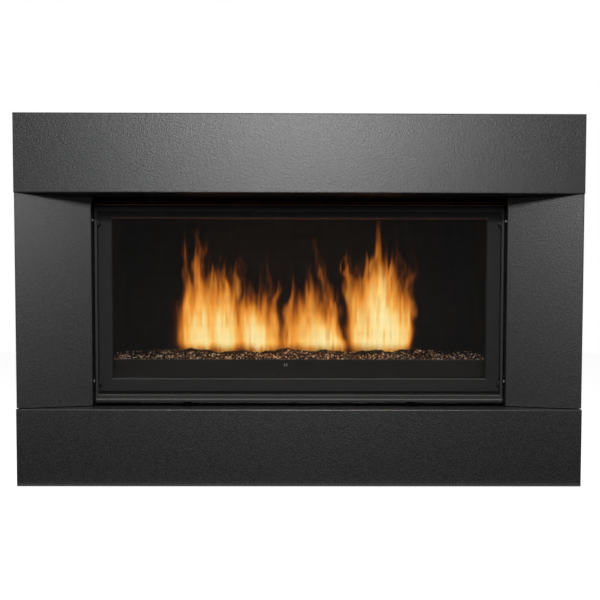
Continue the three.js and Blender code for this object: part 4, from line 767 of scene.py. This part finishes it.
dark = new_material("black_studio_cloth", Base_Color=tone("#1c1c1c"), Roughness=1.0)[0]
pieces_of_cloth = np.arange(len(CLOTH_CORNERS)).reshape(-1, 4)
curtain = mesh_piece("studio_curtain", CLOTH_CORNERS, pieces_of_cloth, dark, smooth=False)
curtain.visible_camera = False
curtain.visible_shadow = False
world = bpy.data.worlds.new("room")
bpy.context.scene.world = world
world.use_nodes = True
plug(world.node_tree.nodes["Background"], {
    "Color": tone("#ffffff"),
    "Strength": node(world, "MapRange", {"Value": white_to(world), "To Min": ROOM_LIGHT, "To Max": 1.0}),
})
for lamp in LAMPS:
    soft_panel(*lamp)

# Glow of the fire: the flames are too thin to light the bed before them, so two orange panels, which
# the camera doesn't see, shine down on the bed's front and up at the window's head.
GLOW_LAMPS = [  # name, y of the aim from the burner's middle line, its height, watts
    ("glow_down", -0.055, 0.26, 1.0), ("glow_up", -0.12, 0.6, 2.5)]
GLOW_PLACE = (0, burner_y - 0.01, 0.40)
GLOW_SIZE = (0.44, 0.06)
for name, ahead, height, watts in GLOW_LAMPS:
    glow_panel = soft_panel(name, GLOW_PLACE, (0, burner_y + ahead, height), GLOW_SIZE, watts)
    glow_panel.data.color = tone("#ffbe84")[:3]
    glow_panel.visible_camera = glow_panel.visible_glossy = glow_panel.visible_transmission = False

# Camera: it stands 1.8 m before the surround and 0.35 m up, and tips down 2.5 degrees. It was fitted
# to the photograph's panel edges, and its frame is shifted up by 60 pixels.
FOCAL_PIXELS = 851.82
FRAME_PIXELS = 600
SHIFT_PIXELS = 60
SENSOR_WIDTH = 36
STAND = (-0.01087, -2.026, 0.35012)
yaw, tilt, roll = np.radians([0.3705, 2.5073, -0.0940])
about_z = np.array([[np.cos(yaw), -np.sin(yaw), 0], [np.sin(yaw), np.cos(yaw), 0], [0, 0, 1]])
about_x = np.array([[1, 0, 0], [0, np.cos(tilt), -np.sin(tilt)], [0, np.sin(tilt), np.cos(tilt)]])
about_y = np.array([[np.cos(roll), 0, -np.sin(roll)], [0, 1, 0], [np.sin(roll), 0, np.cos(roll)]])
right, ahead, up = about_y @ about_x @ about_z
axes = np.stack([right, up, -ahead], -1).tolist()
lens = bpy.data.cameras.new("camera")
lens.sensor_fit = "HORIZONTAL"
lens.sensor_width = SENSOR_WIDTH
lens.lens = FOCAL_PIXELS / FRAME_PIXELS * SENSOR_WIDTH
lens.shift_y = SHIFT_PIXELS / FRAME_PIXELS
camera = bpy.data.objects.new("camera", lens)
camera.matrix_world = Matrix([[*row, stand] for row, stand in zip(axes, STAND)]).to_4x4()
bpy.context.scene.collection.objects.link(camera)
bpy.context.scene.camera = camera
bpy.context.scene.view_settings.view_transform = "Standard"
